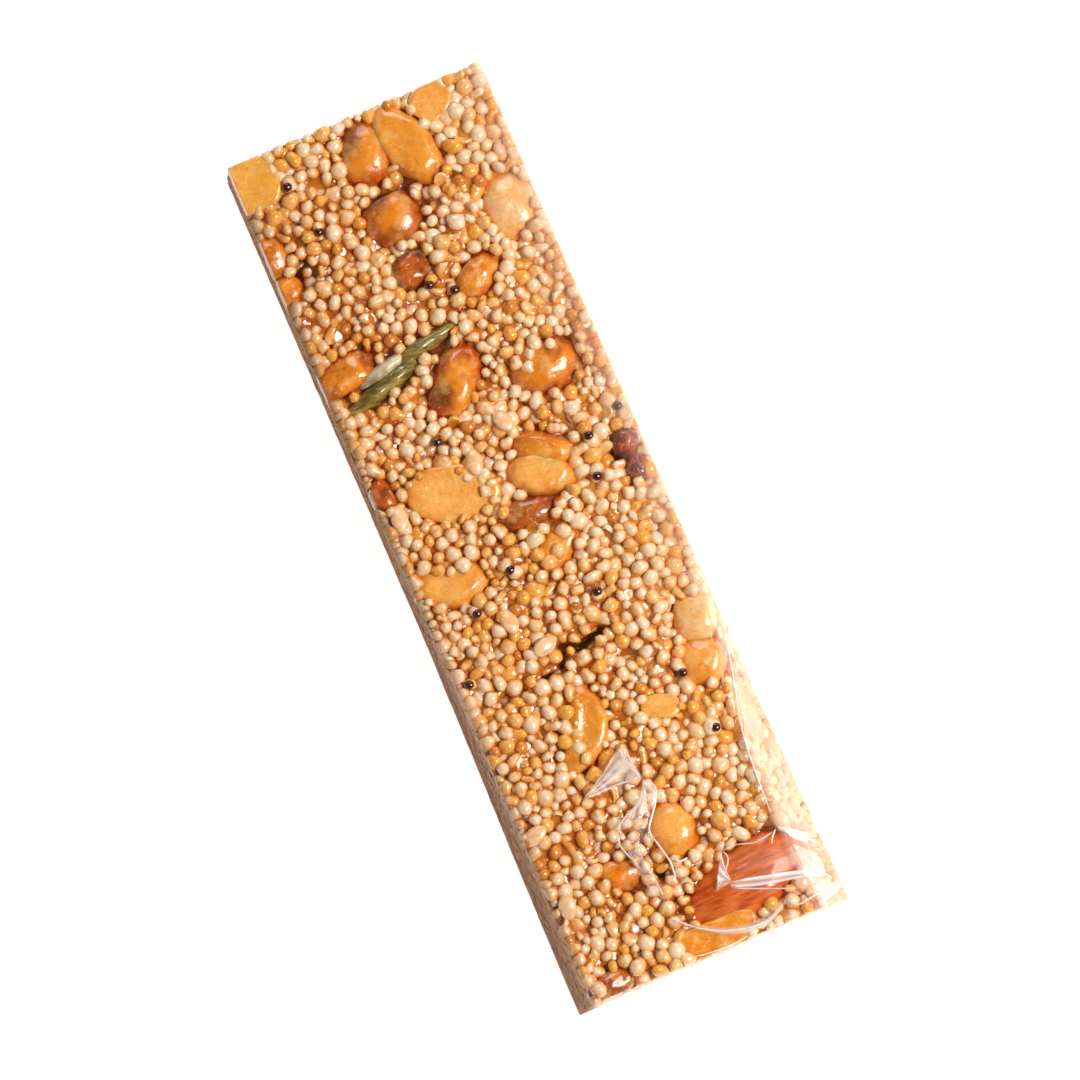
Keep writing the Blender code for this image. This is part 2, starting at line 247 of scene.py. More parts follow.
def output(wire, shader):
    leave = wire.tree.nodes.new("ShaderNodeOutputMaterial")
    wire.tree.links.new(shader.socket, leave.inputs["Surface"])


def newTree(name, inputs):
    # a Geometry Nodes tree with named inputs; gives the tree and a wire for each input
    tree = bpy.data.node_groups.new(name, "GeometryNodeTree")
    tree.interface.new_socket("Geometry", in_out="INPUT", socket_type="NodeSocketGeometry")
    for label, (kind, value) in inputs.items():
        socket = tree.interface.new_socket(label, in_out="INPUT", socket_type="NodeSocket" + kind)
        if value is not None:
            socket.default_value = value
    tree.interface.new_socket("Geometry", in_out="OUTPUT", socket_type="NodeSocketGeometry")
    entry = tree.nodes.new("NodeGroupInput")
    wires = {s.name: Wire(tree, s) for s in entry.outputs if s.name}
    return tree, wires


def endTree(geometry):
    tree = geometry.tree
    leave = tree.nodes.new("NodeGroupOutput")
    tree.links.new(geometry.socket, leave.inputs[0])


def grown(obj, tree, values):
    # runs the tree on obj and keeps the result as obj's plain mesh
    modifier = obj.modifiers.new(tree.name, "NODES")
    modifier.node_group = tree
    for item in tree.interface.items_tree:
        if item.in_out == "INPUT" and item.name in values:
            modifier[item.identifier] = values[item.name]
    depsgraph = bpy.context.evaluated_depsgraph_get()
    mesh = bpy.data.meshes.new_from_object(obj.evaluated_get(depsgraph))
    obj.modifiers.clear()
    obj.data = mesh
    mesh.name = obj.name
    return obj


def meshPoints(obj):
    co = np.empty(len(obj.data.vertices) * 3, np.float32)
    obj.data.vertices.foreach_get("co", co)
    return co.reshape(-1, 3) / mm


def storeDepth(obj):
    depth = depthUnderWrap(meshPoints(obj)).astype(np.float32)
    layer = obj.data.attributes.get("depth") or obj.data.attributes.new("depth", "FLOAT", "POINT")
    layer.data.foreach_set("value", depth)


def finishPiece(obj):
    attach(obj, "root")
    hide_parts("wrapped_bar")
    print(f"{obj.name}: {len(obj.data.polygons)} faces")


# camera, light and floor

camera = {
    "distance": 1.100,
    "tilt from vertical": 6.5,
    "azimuth": -113.3,
    "aim": (0.00104, -0.00032, 0.0),
    "lens": 238.27,
}


def placeCamera():
    tilt, azimuth = math.radians(camera["tilt from vertical"]), math.radians(camera["azimuth"])
    aim = Vector(camera["aim"])
    back = Vector((math.sin(tilt) * math.cos(azimuth), math.sin(tilt) * math.sin(azimuth), math.cos(tilt)))
    upHint = Vector((-math.cos(azimuth), -math.sin(azimuth), 0.0))
    right = (-back).cross(upHint).normalized()
    up = right.cross(-back)
    data = bpy.data.cameras.new("camera")
    data.lens, data.sensor_width = camera["lens"], 36.0
    data.clip_start, data.clip_end = 0.05, 20.0
    obj = bpy.data.objects.new("camera", data)
    obj.matrix_world = Matrix.Translation(aim + back * camera["distance"]) @ \
        Matrix((right, up, back)).transposed().to_4x4()
    bpy.context.scene.collection.objects.link(obj)
    bpy.context.scene.camera = obj


floorLook = {"reach": 1500.0, "color": (0.93, 0.93, 0.93), "glow": 0.9}     # a lit table keeps shadows light
sky = {"color": (1.0, 0.93, 0.85), "low down": 0.22, "overhead": 0.05}
lamps = {
    # name: (place in metres, size, watts, colour)
    "key": ((0.50, -0.24, 0.70), 0.42, 6.2, (1.0, 0.94, 0.86)),
    "back": ((0.25, 0.76, 0.50), 0.45, 2.2, (1.0, 0.97, 0.94)),
    "fill": ((-0.78, -0.05, 0.50), 0.60, 0.3, (1.0, 0.96, 0.92)),
    "spark": ((0.36, -0.30, 0.78), 0.16, 2.6, (1.0, 0.98, 0.95)),
}


def placeLamps():
    for name, (place, size, watts, color) in lamps.items():
        data = bpy.data.lights.new(name, "AREA")
        data.shape, data.size, data.energy, data.color = "DISK", size, watts, color
        obj = bpy.data.objects.new(name, data)
        towards = Vector(place).to_track_quat("Z", "Y").to_matrix().to_4x4()
        obj.matrix_world = Matrix.Translation(place) @ towards
        bpy.context.scene.collection.objects.link(obj)
    world = bpy.data.worlds.new("studio")
    bpy.context.scene.world = world
    world.use_nodes = True
    world.node_tree.nodes.clear()
    wire = Wire(world.node_tree)
    # bright low down, dark overhead, so that what is wet keeps its colour
    up = wire.make("ShaderNodeSeparateXYZ", {}, {0: wire.make("ShaderNodeTexCoord", out="Generated")}, "Z")
    strength = sky["low down"] - (sky["low down"] - sky["overhead"]) * up.within(0.35, 0.85)
    glow = wire.make("ShaderNodeBackground", {}, {"Color": sky["color"], "Strength": strength})
    leave = world.node_tree.nodes.new("ShaderNodeOutputWorld")
    world.node_tree.links.new(glow.socket, leave.inputs["Surface"])
    bpy.context.scene.view_settings.view_transform = "Standard"


def makeFloor():
    reach = floorLook["reach"]
    corners = [(-reach, -reach, 0), (reach, -reach, 0), (reach, reach, 0), (-reach, reach, 0)]
    floor = meshObject("floor", corners, [(0, 1, 2, 3)], smooth=False)
    material, wire = newMaterial("paleFloor")
    glow = {"Emission Color": (1.0, 1.0, 1.0), "Emission Strength": floorLook["glow"]}
    output(wire, surface(wire, floorLook["color"], 0.6, glow))
    floor.data.materials.append(material)


placeCamera()
placeLamps()
makeFloor()
print("camera, light and floor are set")


# what is in the bar: first the lit and the shaded colour of each roast
# painted light: the washed-out pair is paler because the light washes out the nuts along the right side
washedOutByLight = ((0.98, 0.62, 0.29), (0.92, 0.42, 0.11))
pale = ((0.98, 0.47, 0.10), (0.78, 0.25, 0.015))
butter = ((0.93, 0.47, 0.08), (0.78, 0.25, 0.01))
straw = ((0.88, 0.35, 0.035), (0.66, 0.19, 0.006))
honey = ((0.88, 0.32, 0.02), (0.58, 0.12, 0.003))
roast = ((0.86, 0.28, 0.014), (0.38, 0.065, 0.002))
brown = ((0.52, 0.12, 0.008), (0.20, 0.025, 0.001))
dark = ((0.55, 0.11, 0.003), (0.08, 0.007, 0.001))


def spot(x, y, length, width, turn, top, deep, form="kernel", tones=dark, **more):
    return dict(x=x, y=y, length=length, width=width, turn=turn, top=top, deep=deep,
                form=form, tones=tones, **more)


# each nut: middle x and y, length, width, turn of the long side, height of its top, thickness
nuts = {
    "corner": spot(-18.6, 66.2, 8.8, 9.8, 0, 13.6, 8.0, "slab", butter, rough=0.6),
    "left_high": spot(-20.0, 54.6, 7.2, 6.0, 90, 13.5, 7.5, "kernel", roast),
    "left_low": spot(-20.0, 48.6, 5.8, 6.2, 90, 13.4, 7.0, "kernel", honey),
    "skinned": spot(-0.7, 63.8, 11.4, 8.4, 75, 14.0, 8.0, "kernel", honey,
                    skin=(-3.2, 66.8, 4.4), rough=0.8),
    "half_long": spot(5.9, 62.3, 15.6, 7.8, -70, 13.8, 6.5, "dome", straw, rough=1.4),
    "half_top_edge": spot(11.6, 67.0, 6.6, 5.6, 30, 13.4, 5.0, "slab", pale),
    "brown_top": spot(-0.6, 53.0, 10.0, 9.0, 4, 14.0, 8.0, "kernel", roast, skin=(-2.2, 56.6, 2.6),
                      cuts=((97, 3.3),), rough=0.7),
    "pale_right": spot(16.7, 48.0, 12.4, 8.0, 82, 13.7, 7.0, "kernel", washedOutByLight),
    "orange": spot(8.1, 39.8, 9.4, 5.6, 28, 13.6, 6.0, "kernel", honey, rough=1.3),
    "left_middle": spot(-16.8, 33.2, 11.8, 7.6, 15, 13.7, 8.0, "kernel", roast, cuts=((-80, 2.4),)),
    "glossy": spot(-1.8, 26.0, 13.8, 7.2, 47, 14.0, 7.5, "kernel", honey,
                   scorch=(-4.8, 24.2, 2.4), rough=1.5),
    "big": spot(12.0, 22.9, 13.4, 10.4, -8, 13.9, 9.0, "kernel", roast, rough=1.1),
    "seam_high": spot(6.6, 11.2, 10.8, 6.0, -30, 13.9, 8.0, "dome", honey, roll=14, rough=0.7),
    "seam_low": spot(4.6, 7.6, 12.2, 6.6, -27, 13.9, 8.0, "dome", pale, roll=-6, rough=0.7),
    "half_flat": spot(-8.6, 10.2, 14.8, 9.2, -18, 13.45, 5.5, "half", pale, roll=5, rough=0.5),
    "sunk": spot(0.6, 2.8, 11.4, 5.6, 0, 13.1, 6.0, "kernel", brown),
    "half_on_edge": spot(-14.2, -2.4, 13.4, 8.0, -9, 13.5, 8.0, "dome", pale, roll=-12, rough=0.6),
    "slanted": spot(2.6, -3.3, 13.4, 6.2, 43, 13.1, 6.5, "kernel", honey),
    "right_low_upper": spot(17.4, -21.6, 8.2, 7.0, 80, 13.5, 7.0, "kernel", washedOutByLight),
    "right_low_lower": spot(15.9, -28.2, 8.8, 7.4, 66, 13.4, 7.0, "kernel", pale),
    "curved": spot(-5.0, -30.6, 15.0, 6.6, 62, 13.6, 6.5, "bean", straw, rough=0.6),
    "bit_yellow": spot(7.2, -32.2, 6.2, 3.8, -15, 13.5, 4.0, "slab", pale),
    "round": spot(1.4, -50.1, 9.8, 7.8, 95, 14.0, 8.0, "kernel", pale, rough=0.4),
    "lower_edge": spot(1.4, -67.2, 13.2, 4.8, 0, 13.4, 5.0, "slab", honey),
    "lower_corner": spot(-16.2, -68.0, 8.8, 4.2, 0, 13.3, 5.0, "kernel", brown),
    "bit_small": spot(-3.6, -36.6, 4.0, 3.0, 60, 13.5, 3.5, "kernel", honey),
    "left_dark": spot(-18.9, 14.2, 7.0, 4.4, 90, 13.2, 6.0, "kernel", dark),
    "shoulder": spot(18.6, -38.6, 9.4, 5.4, 80, 11.8, 6.0, "kernel", washedOutByLight),
    "amber": spot(-8.2, -53.2, 8.0, 5.6, -20, 13.0, 5.5, "kernel", roast),
}
burntNut = spot(-0.9, 44.3, 7.2, 6.2, 20, 13.6, 6.0, "kernel", dark, rough=1.8)
almondSpot = spot(9.4, -61.3, 23.8, 11.4, 12, 13.9, 8.0, "almond", dark)
pumpkinStrips = {
    "high": spot(-3.9, 33.0, 12.5, 2.8, 10, 13.8, 6.5),
    "low": spot(-12.6, 29.2, 16.5, 3.0, 17, 13.8, 7.0),
}
pumpkinCore = spot(-11.0, 31.9, 9.4, 2.4, 14, 13.8, 6.0)
berrySpots = {
    "high": spot(18.5, 7.2, 5.0, 4.6, -20, 13.6, 5.0, rough=2.0),
    "low": spot(18.4, 3.0, 4.6, 4.6, 0, 13.4, 5.0, rough=2.0),
}
sesame = ((2.4, 17.5, 110), (-4.0, 13.3, 80), (-17.9, 9.7, 80), (-8.8, -11.2, 95),
          (-5.2, -16.9, 15), (-18.0, -42.8, 20), (-17.8, -54.5, 80))
darkSeeds = ((-13.6, 63.4), (-11.9, 55.1), (0.4, 40.9), (3.7, 38.7), (-8.0, 18.2),
             (13.6, 10.0), (19.4, 12.5), (12.3, 3.8), (-5.5, -4.2), (-12.8, -8.3),
             (5.3, -12.4), (-18.2, -17.8), (12.3, -28.9), (13.6, -38.5))
# places where the syrup shows between the grains: x, y, radius
gaps = ((-16.5, 50.5, 2.3), (-4.6, 31.6, 1.2), (1.6, 31.4, 1.0), (16.2, 5.6, 1.2), (3.8, 38.6, 1.3),
        (-18.5, 38, 1.8), (-8.5, 18, 1.0), (7, -10.5, 1.0), (6.5, -46.5, 1.4), (10.5, -54.5, 1.8),
        (-2.7, -55.5, 1.1), (0, -59.5, 1.1), (-17, -66, 1.0), (-9.5, -46, 1.0))
cracks = (((-7.5, -21.5), (-4, -20.3), (-2.5, -18), (0, -19), (5, -17.5)), ((-14, -22.4), (-11, -21.2)))
# places where grains ride on a nut: x, y, radius
riders = ((9.0, 26.2, 2.8), (-3.6, 11.6, 3.0), (-13.6, 2.8, 3.6), (0.6, -5.6, 2.4), (5.6, -1.2, 1.8),
          (-7.8, -28.0, 3.0), (-7.4, -33.2, 1.8), (13.6, 25.4, 1.3))


# the nuts

nutForms = {
    # how square the outline is, how pointed its end, where a flat face cuts it (1 is nowhere),
    # the rim round that face, the channel along it, and the bend of the whole
    "kernel": dict(square=2.3, pointed=0.14, flat=1.0, rim=0.0, channel=0.0, bend=0.0),
    "half": dict(square=2.3, pointed=0.20, flat=0.50, rim=0.10, channel=0.12, bend=0.0),
    "dome": dict(square=2.1, pointed=0.22, flat=0.80, rim=0.0, channel=0.0, bend=0.4),
    "slab": dict(square=3.0, pointed=0.05, flat=0.55, rim=0.0, channel=0.0, bend=0.0),
    "bean": dict(square=2.2, pointed=0.05, flat=0.75, rim=0.35, channel=0.3, bend=2.4),
    "almond": dict(square=2.0, pointed=0.36, flat=1.0, rim=0.0, channel=0.0, bend=0.0),
}
nutShape = {
    "rings": 40,
    "points around": 48,
    "lumps": ((4.5, 0.50), (2.0, 0.16), (0.9, 0.05)),     # size and height of each kind, in millimetres
}


def ovalBody(length, width, deep, rings, around, square, pointed=0.0):
    # closed oval body round the origin, its length along X
    points, faces = [(length / 2, 0.0, 0.0)], []
    for ring in range(1, rings):
        along = math.cos(math.pi * ring / rings)
        swell = (1.0 - abs(along) ** square) ** (1.0 / square)
        swell *= 1.0 - pointed * max(along, 0.0) ** 2
        for step in range(around):
            a = math.tau * step / around
            fuller = (abs(math.cos(a)) ** 2.5 + abs(math.sin(a)) ** 2.5) ** (-1 / 2.5)
            across, up = swell * fuller * math.cos(a), swell * fuller * math.sin(a)
            points.append((along * length / 2, across * width / 2, up * deep / 2))
    points.append((-length / 2, 0.0, 0.0))
    last = len(points) - 1
    for step in range(around):
        following = (step + 1) % around
        faces.append((0, 1 + step, 1 + following))
        faces.append((last, last - around + following, last - around + step))
        for ring in range(rings - 2):
            a, b = 1 + ring * around, 1 + (ring + 1) * around
            faces.append((a + step, b + step, b + following, a + following))
    return np.array(points), faces


def nutBody(name, nut):
    form = nutForms[nut["form"]]
    points, faces = ovalBody(nut["length"], nut["width"], nut["deep"], nutShape["rings"],
                             nutShape["points around"], form["square"], form["pointed"])
    outward = points / np.maximum(np.linalg.norm(points, axis=1), 1e-6)[:, None]
    u, v = points[:, 0] * 2 / nut["length"], points[:, 1] * 2 / nut["width"]
    cut = form["flat"] * nut["deep"] / 2
    over = np.maximum(points[:, 2] - cut, 0.0) if form["flat"] < 1 else np.zeros(len(points))
    face = ease(over, 0.02, 0.8)
    edge = np.hypot(u, v) / math.sqrt(max(1 - form["flat"] ** 2, 0.05))
    points[:, 2] -= 0.94 * over
    points[:, 2] += face * form["rim"] * np.exp(-((edge - 0.88) / 0.13) ** 2)
    points[:, 2] -= face * form["channel"] * np.exp(-(v / 0.35) ** 2) * np.clip(1 - u * u, 0, 1)
    points[:, 1] += form["bend"] * (u * u - 0.35)
    seed = 3 * len(name) + abs(nut["x"])
    height = sum(smoothNoise(points, size, seed + i) * tall
                 for i, (size, tall) in enumerate(nutShape["lumps"]))
    points += outward * (height * nut.get("rough", 1.0) * (1 - 0.6 * face))[:, None]
    roll = rotationTo(nut.get("roll", 0.0))
    points[:, 1:] = points[:, 1:] @ roll.T
    points[:, :2] = points[:, :2] @ rotationTo(nut["turn"]).T
    points += (nut["x"], nut["y"], nut["top"] - points[:, 2].max())
    for angle, far in nut.get("cuts", ()):
        way = np.array((math.cos(math.radians(angle)), math.sin(math.radians(angle))))
        beyond = np.maximum((points[:, :2] - (nut["x"], nut["y"])) @ way - far, 0.0)
        points[:, :2] -= 0.9 * beyond[:, None] * way
    # what the blade or the wrap meets is flush
    y = np.clip(points[:, 1], -halfLength + 0.3, halfLength - 0.3)
    z = np.clip(points[:, 2], 0.6, barThick)
    x = np.clip(points[:, 0], leftX(y, z) + 0.25, rightX(y, z) - 0.25)
    z = np.minimum(z, wrapHeight(x, y) - 0.1)
    return np.stack([x, y, z], 1), faces, face


def nutColors(points, nut, face):
    light, shade = (np.array(tone) for tone in nut["tones"])
    mottle = ease(smoothNoise(points, 2.6, nut["x"]) + 0.6 * smoothNoise(points, 0.9, nut["y"]), -0.3, 0.5)
    # painted shade: each nut turns to its shaded tone towards its lower edges; the mottle is tone that
    # differs at random
    under = ease(points[:, 2], nut["top"] - 0.3, nut["top"] - 2.4)
    share = np.clip(0.7 * mottle * (1 - 0.5 * face) + 1.1 * under, 0, 1.25)[:, None]
    color = np.clip(light * (1 - share) + shade * share, 0.0, 1.0)
    marks = {"skin": np.array((0.26, 0.085, 0.040)), "scorch": np.array((0.14, 0.012, 0.003))}
    for mark, tone in marks.items():
        if mark in nut:
            x, y, reach = nut[mark]
            away = np.hypot(points[:, 0] - x, points[:, 1] - y) + 0.9 * smoothNoise(points, 1.4, 7)
            share = 0.85 * ease(away, reach, reach * 0.45)[:, None]
            color = color * (1 - share) + tone * share
    return color


def makeNuts(name, parts):
    allPoints, allFaces, colors, start = [], [], [], 0
    for label, nut in parts.items():
        points, faces, face = nutBody(label, nut)
        allPoints.append(points)
        allFaces += [tuple(start + i for i in corners) for corners in faces]
        colors.append(nutColors(points, nut, face))
        start += len(points)
    obj = meshObject(name, np.vstack(allPoints), allFaces, {"tone": np.vstack(colors)})
    facesOutward(obj)
    return obj


def nutMaterial(name, wetness):
    material, wire = newMaterial(name)
    tone = attributeValue(wire, "tone", "Color")
    cloud = noiseAt(wire, 2.4, 3.0)
    streak = noiseAt(wire, 1.0, 3.0, 0.5, {"Scale": (1.0, 2.5, 1.0)})
    paintedGlints = noiseAt(wire, 0.45, 1.0, 0.4, {"Scale": (0.6, 2.0, 1.0)})
    color = mixColors(cloud.within(0.48, 0.70) * 0.42, tone, (1.0, 0.62, 0.22))
    color = mixColors(streak.within(0.48, 0.28) * 0.30, color, (0.60, 0.17, 0.01))
    # painted glints: small pale dashes
    color = mixColors(paintedGlints.within(0.70, 0.74) * 0.5, color, (1.0, 0.85, 0.62))
    # painted shade on the left flank of the bar, which is also kept duller
    shadedFlank = alongAxis(wire, "X").within(-20.0, -21.6)
    color = mixColors(shadedFlank * 0.6, color, (0.45, 0.20, 0.08))
    extra = {"Coat Weight": wetness - shadedFlank * 0.8, "Coat Roughness": 0.05, "Subsurface Weight": 0.4,
             "Subsurface Radius": (1.0, 0.35, 0.08), "Subsurface Scale": 0.0014}
    bumps = [(noiseAt(wire, 0.7, 2.0), 0.3, 0.10), (noiseAt(wire, 2.2, 3.0), 0.5, 0.8)]
    output(wire, surface(wire, color, 0.28 + 0.6 * shadedFlank, extra, bumps))
    return material


peanuts = makeNuts("peanuts", nuts)
peanuts.data.materials.append(nutMaterial("roastedPeanut", 0.9))
finishPiece(peanuts)
burnt = makeNuts("burnt_peanut", {"burnt": burntNut})
burnt.data.materials.append(nutMaterial("burntPeanut", 1.0))
finishPiece(burnt)


def almondMaterial():
    material, wire = newMaterial("almondSkin")
    turned = {"Rotation": (0, 0, math.radians(-almondSpot["turn"])), "Scale": (1.0, 6.0, 2.0)}
    lines = noiseAt(wire, 4.5, 5.0, 0.65, turned)
    blotch = noiseAt(wire, 4.0, 2.0)
    color = mixColors(lines.within(0.35, 0.66), (0.46, 0.055, 0.004), (0.82, 0.17, 0.013))
    color = mixColors(blotch.within(0.45, 0.75) * 0.6, color, (0.78, 0.24, 0.04))
    extra = {"Coat Weight": 0.6, "Coat Roughness": 0.1}
    output(wire, surface(wire, color, 0.35, extra, [(lines, 0.6, 0.35)]))
    return material


almond = makeNuts("almond", {"almond": almondSpot})
almond.data.materials.append(almondMaterial())
finishPiece(almond)


# pumpkin seed on its edge, and the dried berry

def pumpkinMaterial():
    material, wire = newMaterial("pumpkinSeedSkin")
    turned = {"Rotation": (0, 0, math.radians(-16)), "Scale": (1.0, 5.0, 1.0)}
    lines = noiseAt(wire, 2.5, 4.0, 0.6, turned)
    color = mixColors(lines.within(0.35, 0.65), (0.10, 0.070, 0.006), (0.38, 0.27, 0.05))
    color = mixColors(noiseAt(wire, 0.9, 3.0).within(0.62, 0.72), color, (0.60, 0.50, 0.28))
    output(wire, surface(wire, color, 0.3, {"Coat Weight": 0.8}, [(lines, 0.6, 0.3)]))
    return material


def pumpkinCoreMaterial():
    material, wire = newMaterial("pumpkinSeedFlesh")
    color = mixColors(noiseAt(wire, 1.5, 3.0).within(0.4, 0.7), (0.74, 0.62, 0.44), (0.36, 0.28, 0.14))
    output(wire, surface(wire, color, 0.4, {"Coat Weight": 0.5}, [(noiseAt(wire, 0.8), 0.3, 0.2)]))
    return material


def berryMaterial():
    material, wire = newMaterial("driedBerrySkin")
    folds = noiseAt(wire, 1.6, 3.0, 0.6)
    color = mixColors(folds.within(0.4, 0.65), (0.09, 0.006, 0.003), (0.50, 0.06, 0.010))
    output(wire, surface(wire, color, 0.2, {"Coat Weight": 1.0}, [(folds, 1.0, 0.7)]))
    return material


for name, parts, material in (
        ("pumpkin_seed_skin", pumpkinStrips, pumpkinMaterial()),
        ("pumpkin_seed_flesh", {"core": pumpkinCore}, pumpkinCoreMaterial()),
        ("dried_berry", berrySpots, berryMaterial())):
    piece = makeNuts(name, parts)
    piece.data.materials.append(material)
    finishPiece(piece)
print("nuts, seed and berry are made")


# the puffed grains

grainMix = {
    "seed": 41,
    "mean radius": 1.27,
    "radius spread": 0.22,
    "smallest radius": 0.80,
    "largest radius": 1.6,
    "closeness": 0.84,           # 1 touches, less presses grains into each other
    "rounds of settling": 34,
    "gap under the wrap": 0.10,
    "may press into the wrap": 0.17,
    "room at a side": 0.72,      # share of its radius that a grain keeps to the sides and ends
    "heap size": 5.5,
    "heap depth": 0.8,
    "filler radius": (0.95, 1.3),
    "filler depth": (0.2, 1.2),
    "filler step": 1.3,
    "clear of a crack": 0.75,
    "crack depth": 3.4,
    "stretch": (0.78, 1.16),
    "unevenness": 0.16,
    "furthest reach": 1.24,
    "kinds": {"plain": 0.14, "dimpled": 0.13, "keeled": 0.16, "popped": 0.15, "blocky": 0.12, "twin": 0.13,
              "pear": 0.06, "curled": 0.04, "husk": 0.03, "toasted": 0.04},
}
# each layer: face of the bar, how deep its grains lie under the wrap, how far apart they start
grainLayers = {
    "riders": ("top", (-0.1, 0.15), 2.1),
    "top": ("top", (0.0, 0.7), 2.2),
    "second": ("top", (0.9, 1.7), 2.15),
    "left": ("left", (-0.5, 0.0), 2.2),
    "right": ("right", (-0.5, 0.0), 2.2),
    "upper_end": ("upper end", (-0.5, 0.0), 2.2),
    "lower_end": ("lower end", (-0.5, 0.0), 2.2),
    "under": ("underside", (-0.2, 0.1), 2.5),
}
allNuts = {**nuts, "burnt": burntNut, "almond": almondSpot}
allNuts.update({f"pumpkin {label}": part for label, part in pumpkinStrips.items()})
allNuts["pumpkin core"] = pumpkinCore
allNuts.update({f"berry {label}": part for label, part in berrySpots.items()})


def latticeOver(width, height, step, rng):
    # staggered rows with a shake, over a sheet of that size round its middle
    places, row = [], 0
    v = -height / 2 + step / 2
    while v < height / 2:
        u = -width / 2 + step * (0.25 + 0.5 * (row % 2))
        while u < width / 2:
            places.append((u + rng.uniform(-0.4, 0.4) * step, v + rng.uniform(-0.4, 0.4) * step))
            u += step
        v += step * 0.87
        row += 1
    return np.array(places)


def heapDip(x, y):
    # how far the heap dips between its humps
    rolling = smoothNoise(np.stack([x, y, 0.0 * x], 1), grainMix["heap size"], 8)
    return grainMix["heap depth"] * ease(rolling, -0.25, 0.3)


def onFace(face, places, depth, radius):
    # turns places on a sheet into places in the bar, each under its face by depth and radius
    u, v = places[:, 0], places[:, 1]
    down = depth + radius
    middle = barThick / 2
    if face == "top":
        return np.stack([u, v, wrapHeight(u, v) - down], 1)
    if face == "underside":
        return np.stack([u, v, down + 0.1], 1)
    if face == "left":
        return np.stack([leftX(v, u + middle) + down, v, u + middle], 1)
    if face == "right":
        return np.stack([rightX(v, u + middle) - down, v, u + middle], 1)
    sign = 1.0 if face == "upper end" else -1.0
    return np.stack([u, sign * (halfLength - down), v + middle], 1)


sheetSizes = {
    "top": (barWidth, barLength), "underside": (barWidth, barLength),
    "left": (barThick - 3.0, barLength), "right": (barThick - 3.0, barLength),
    "upper end": (barWidth, barThick - 3.0), "lower end": (barWidth, barThick - 3.0),
}


roundness = 2.4      # of the blunt oval that a nut fills


def toNut(points, nut, grow):
    # how far inside the nut each point is: under 1 is inside; and the same seen from above
    local = (points[:, :2] - (nut["x"], nut["y"])) @ rotationTo(nut["turn"])
    along = np.abs(local[:, 0]) / (nut["length"] / 2 + grow)
    across = np.abs(local[:, 1]) / (nut["width"] / 2 + grow)
    up = np.abs(points[:, 2] - (nut["top"] - nut["deep"] / 2)) / (nut["deep"] / 2 + grow)
    level = along ** roundness + across ** roundness
    return level + up ** roundness, level


def pushedOut(points, radii, free):
    for nut in allNuts.values():
        near = free & (np.hypot(points[:, 0] - nut["x"], points[:, 1] - nut["y"]) < nut["length"] / 2 + 1.5)
        if not near.any():
            continue
        part = points[near]
        inside, level = toNut(part, nut, radii[near] * 0.50)
        needed = ((1.0 - (inside - level)) / np.maximum(level, 0.05)) ** (1 / roundness)
        spread = np.where(inside < 1.0, needed, 1.0)
        middle = np.array((nut["x"], nut["y"]))
        part[:, :2] = middle + (part[:, :2] - middle) * np.clip(spread, 1.0, 1.12)[:, None]
        points[near] = part
    return points


def keepIn(points, radii):
    x, y, z = points.T.copy()
    room = radii * grainMix["room at a side"]
    y = np.clip(y, -halfLength + room, halfLength - room)
    z = np.clip(z, room + 0.1, barThick - radii)
    x = np.clip(x, leftX(y, z) + room, rightX(y, z) - room)
    z = np.minimum(z, wrapHeight(x, y) - radii * 0.98)
    return np.stack([x, y, z], 1)


def settle(points, radii, free):
    # neighbours push each other apart until the pile lies tight
    home = points[:, 2].copy()
    reach = 2 * grainMix["largest radius"]
    for _ in range(grainMix["rounds of settling"]):
        order = np.argsort(points[:, 1])
        p, r = points[order], radii[order]
        push = np.zeros_like(p)
        for step in range(1, len(p)):
            gap = p[step:] - p[:-step]
            if gap[:, 1].min() > reach:
                break
            dist = np.maximum(np.linalg.norm(gap, axis=1), 1e-3)
            lap = np.clip((r[step:] + r[:-step]) * grainMix["closeness"] - dist, 0.0, None)
            move = gap * (0.5 * lap / dist)[:, None]
            push[step:] += move
            push[:-step] -= move
        push[:, 2] *= 0.6
        points[order] += 0.6 * push
        points[:, 2] += 0.15 * (home - points[:, 2])
        points = keepIn(pushedOut(points, radii, free), radii)
    return points


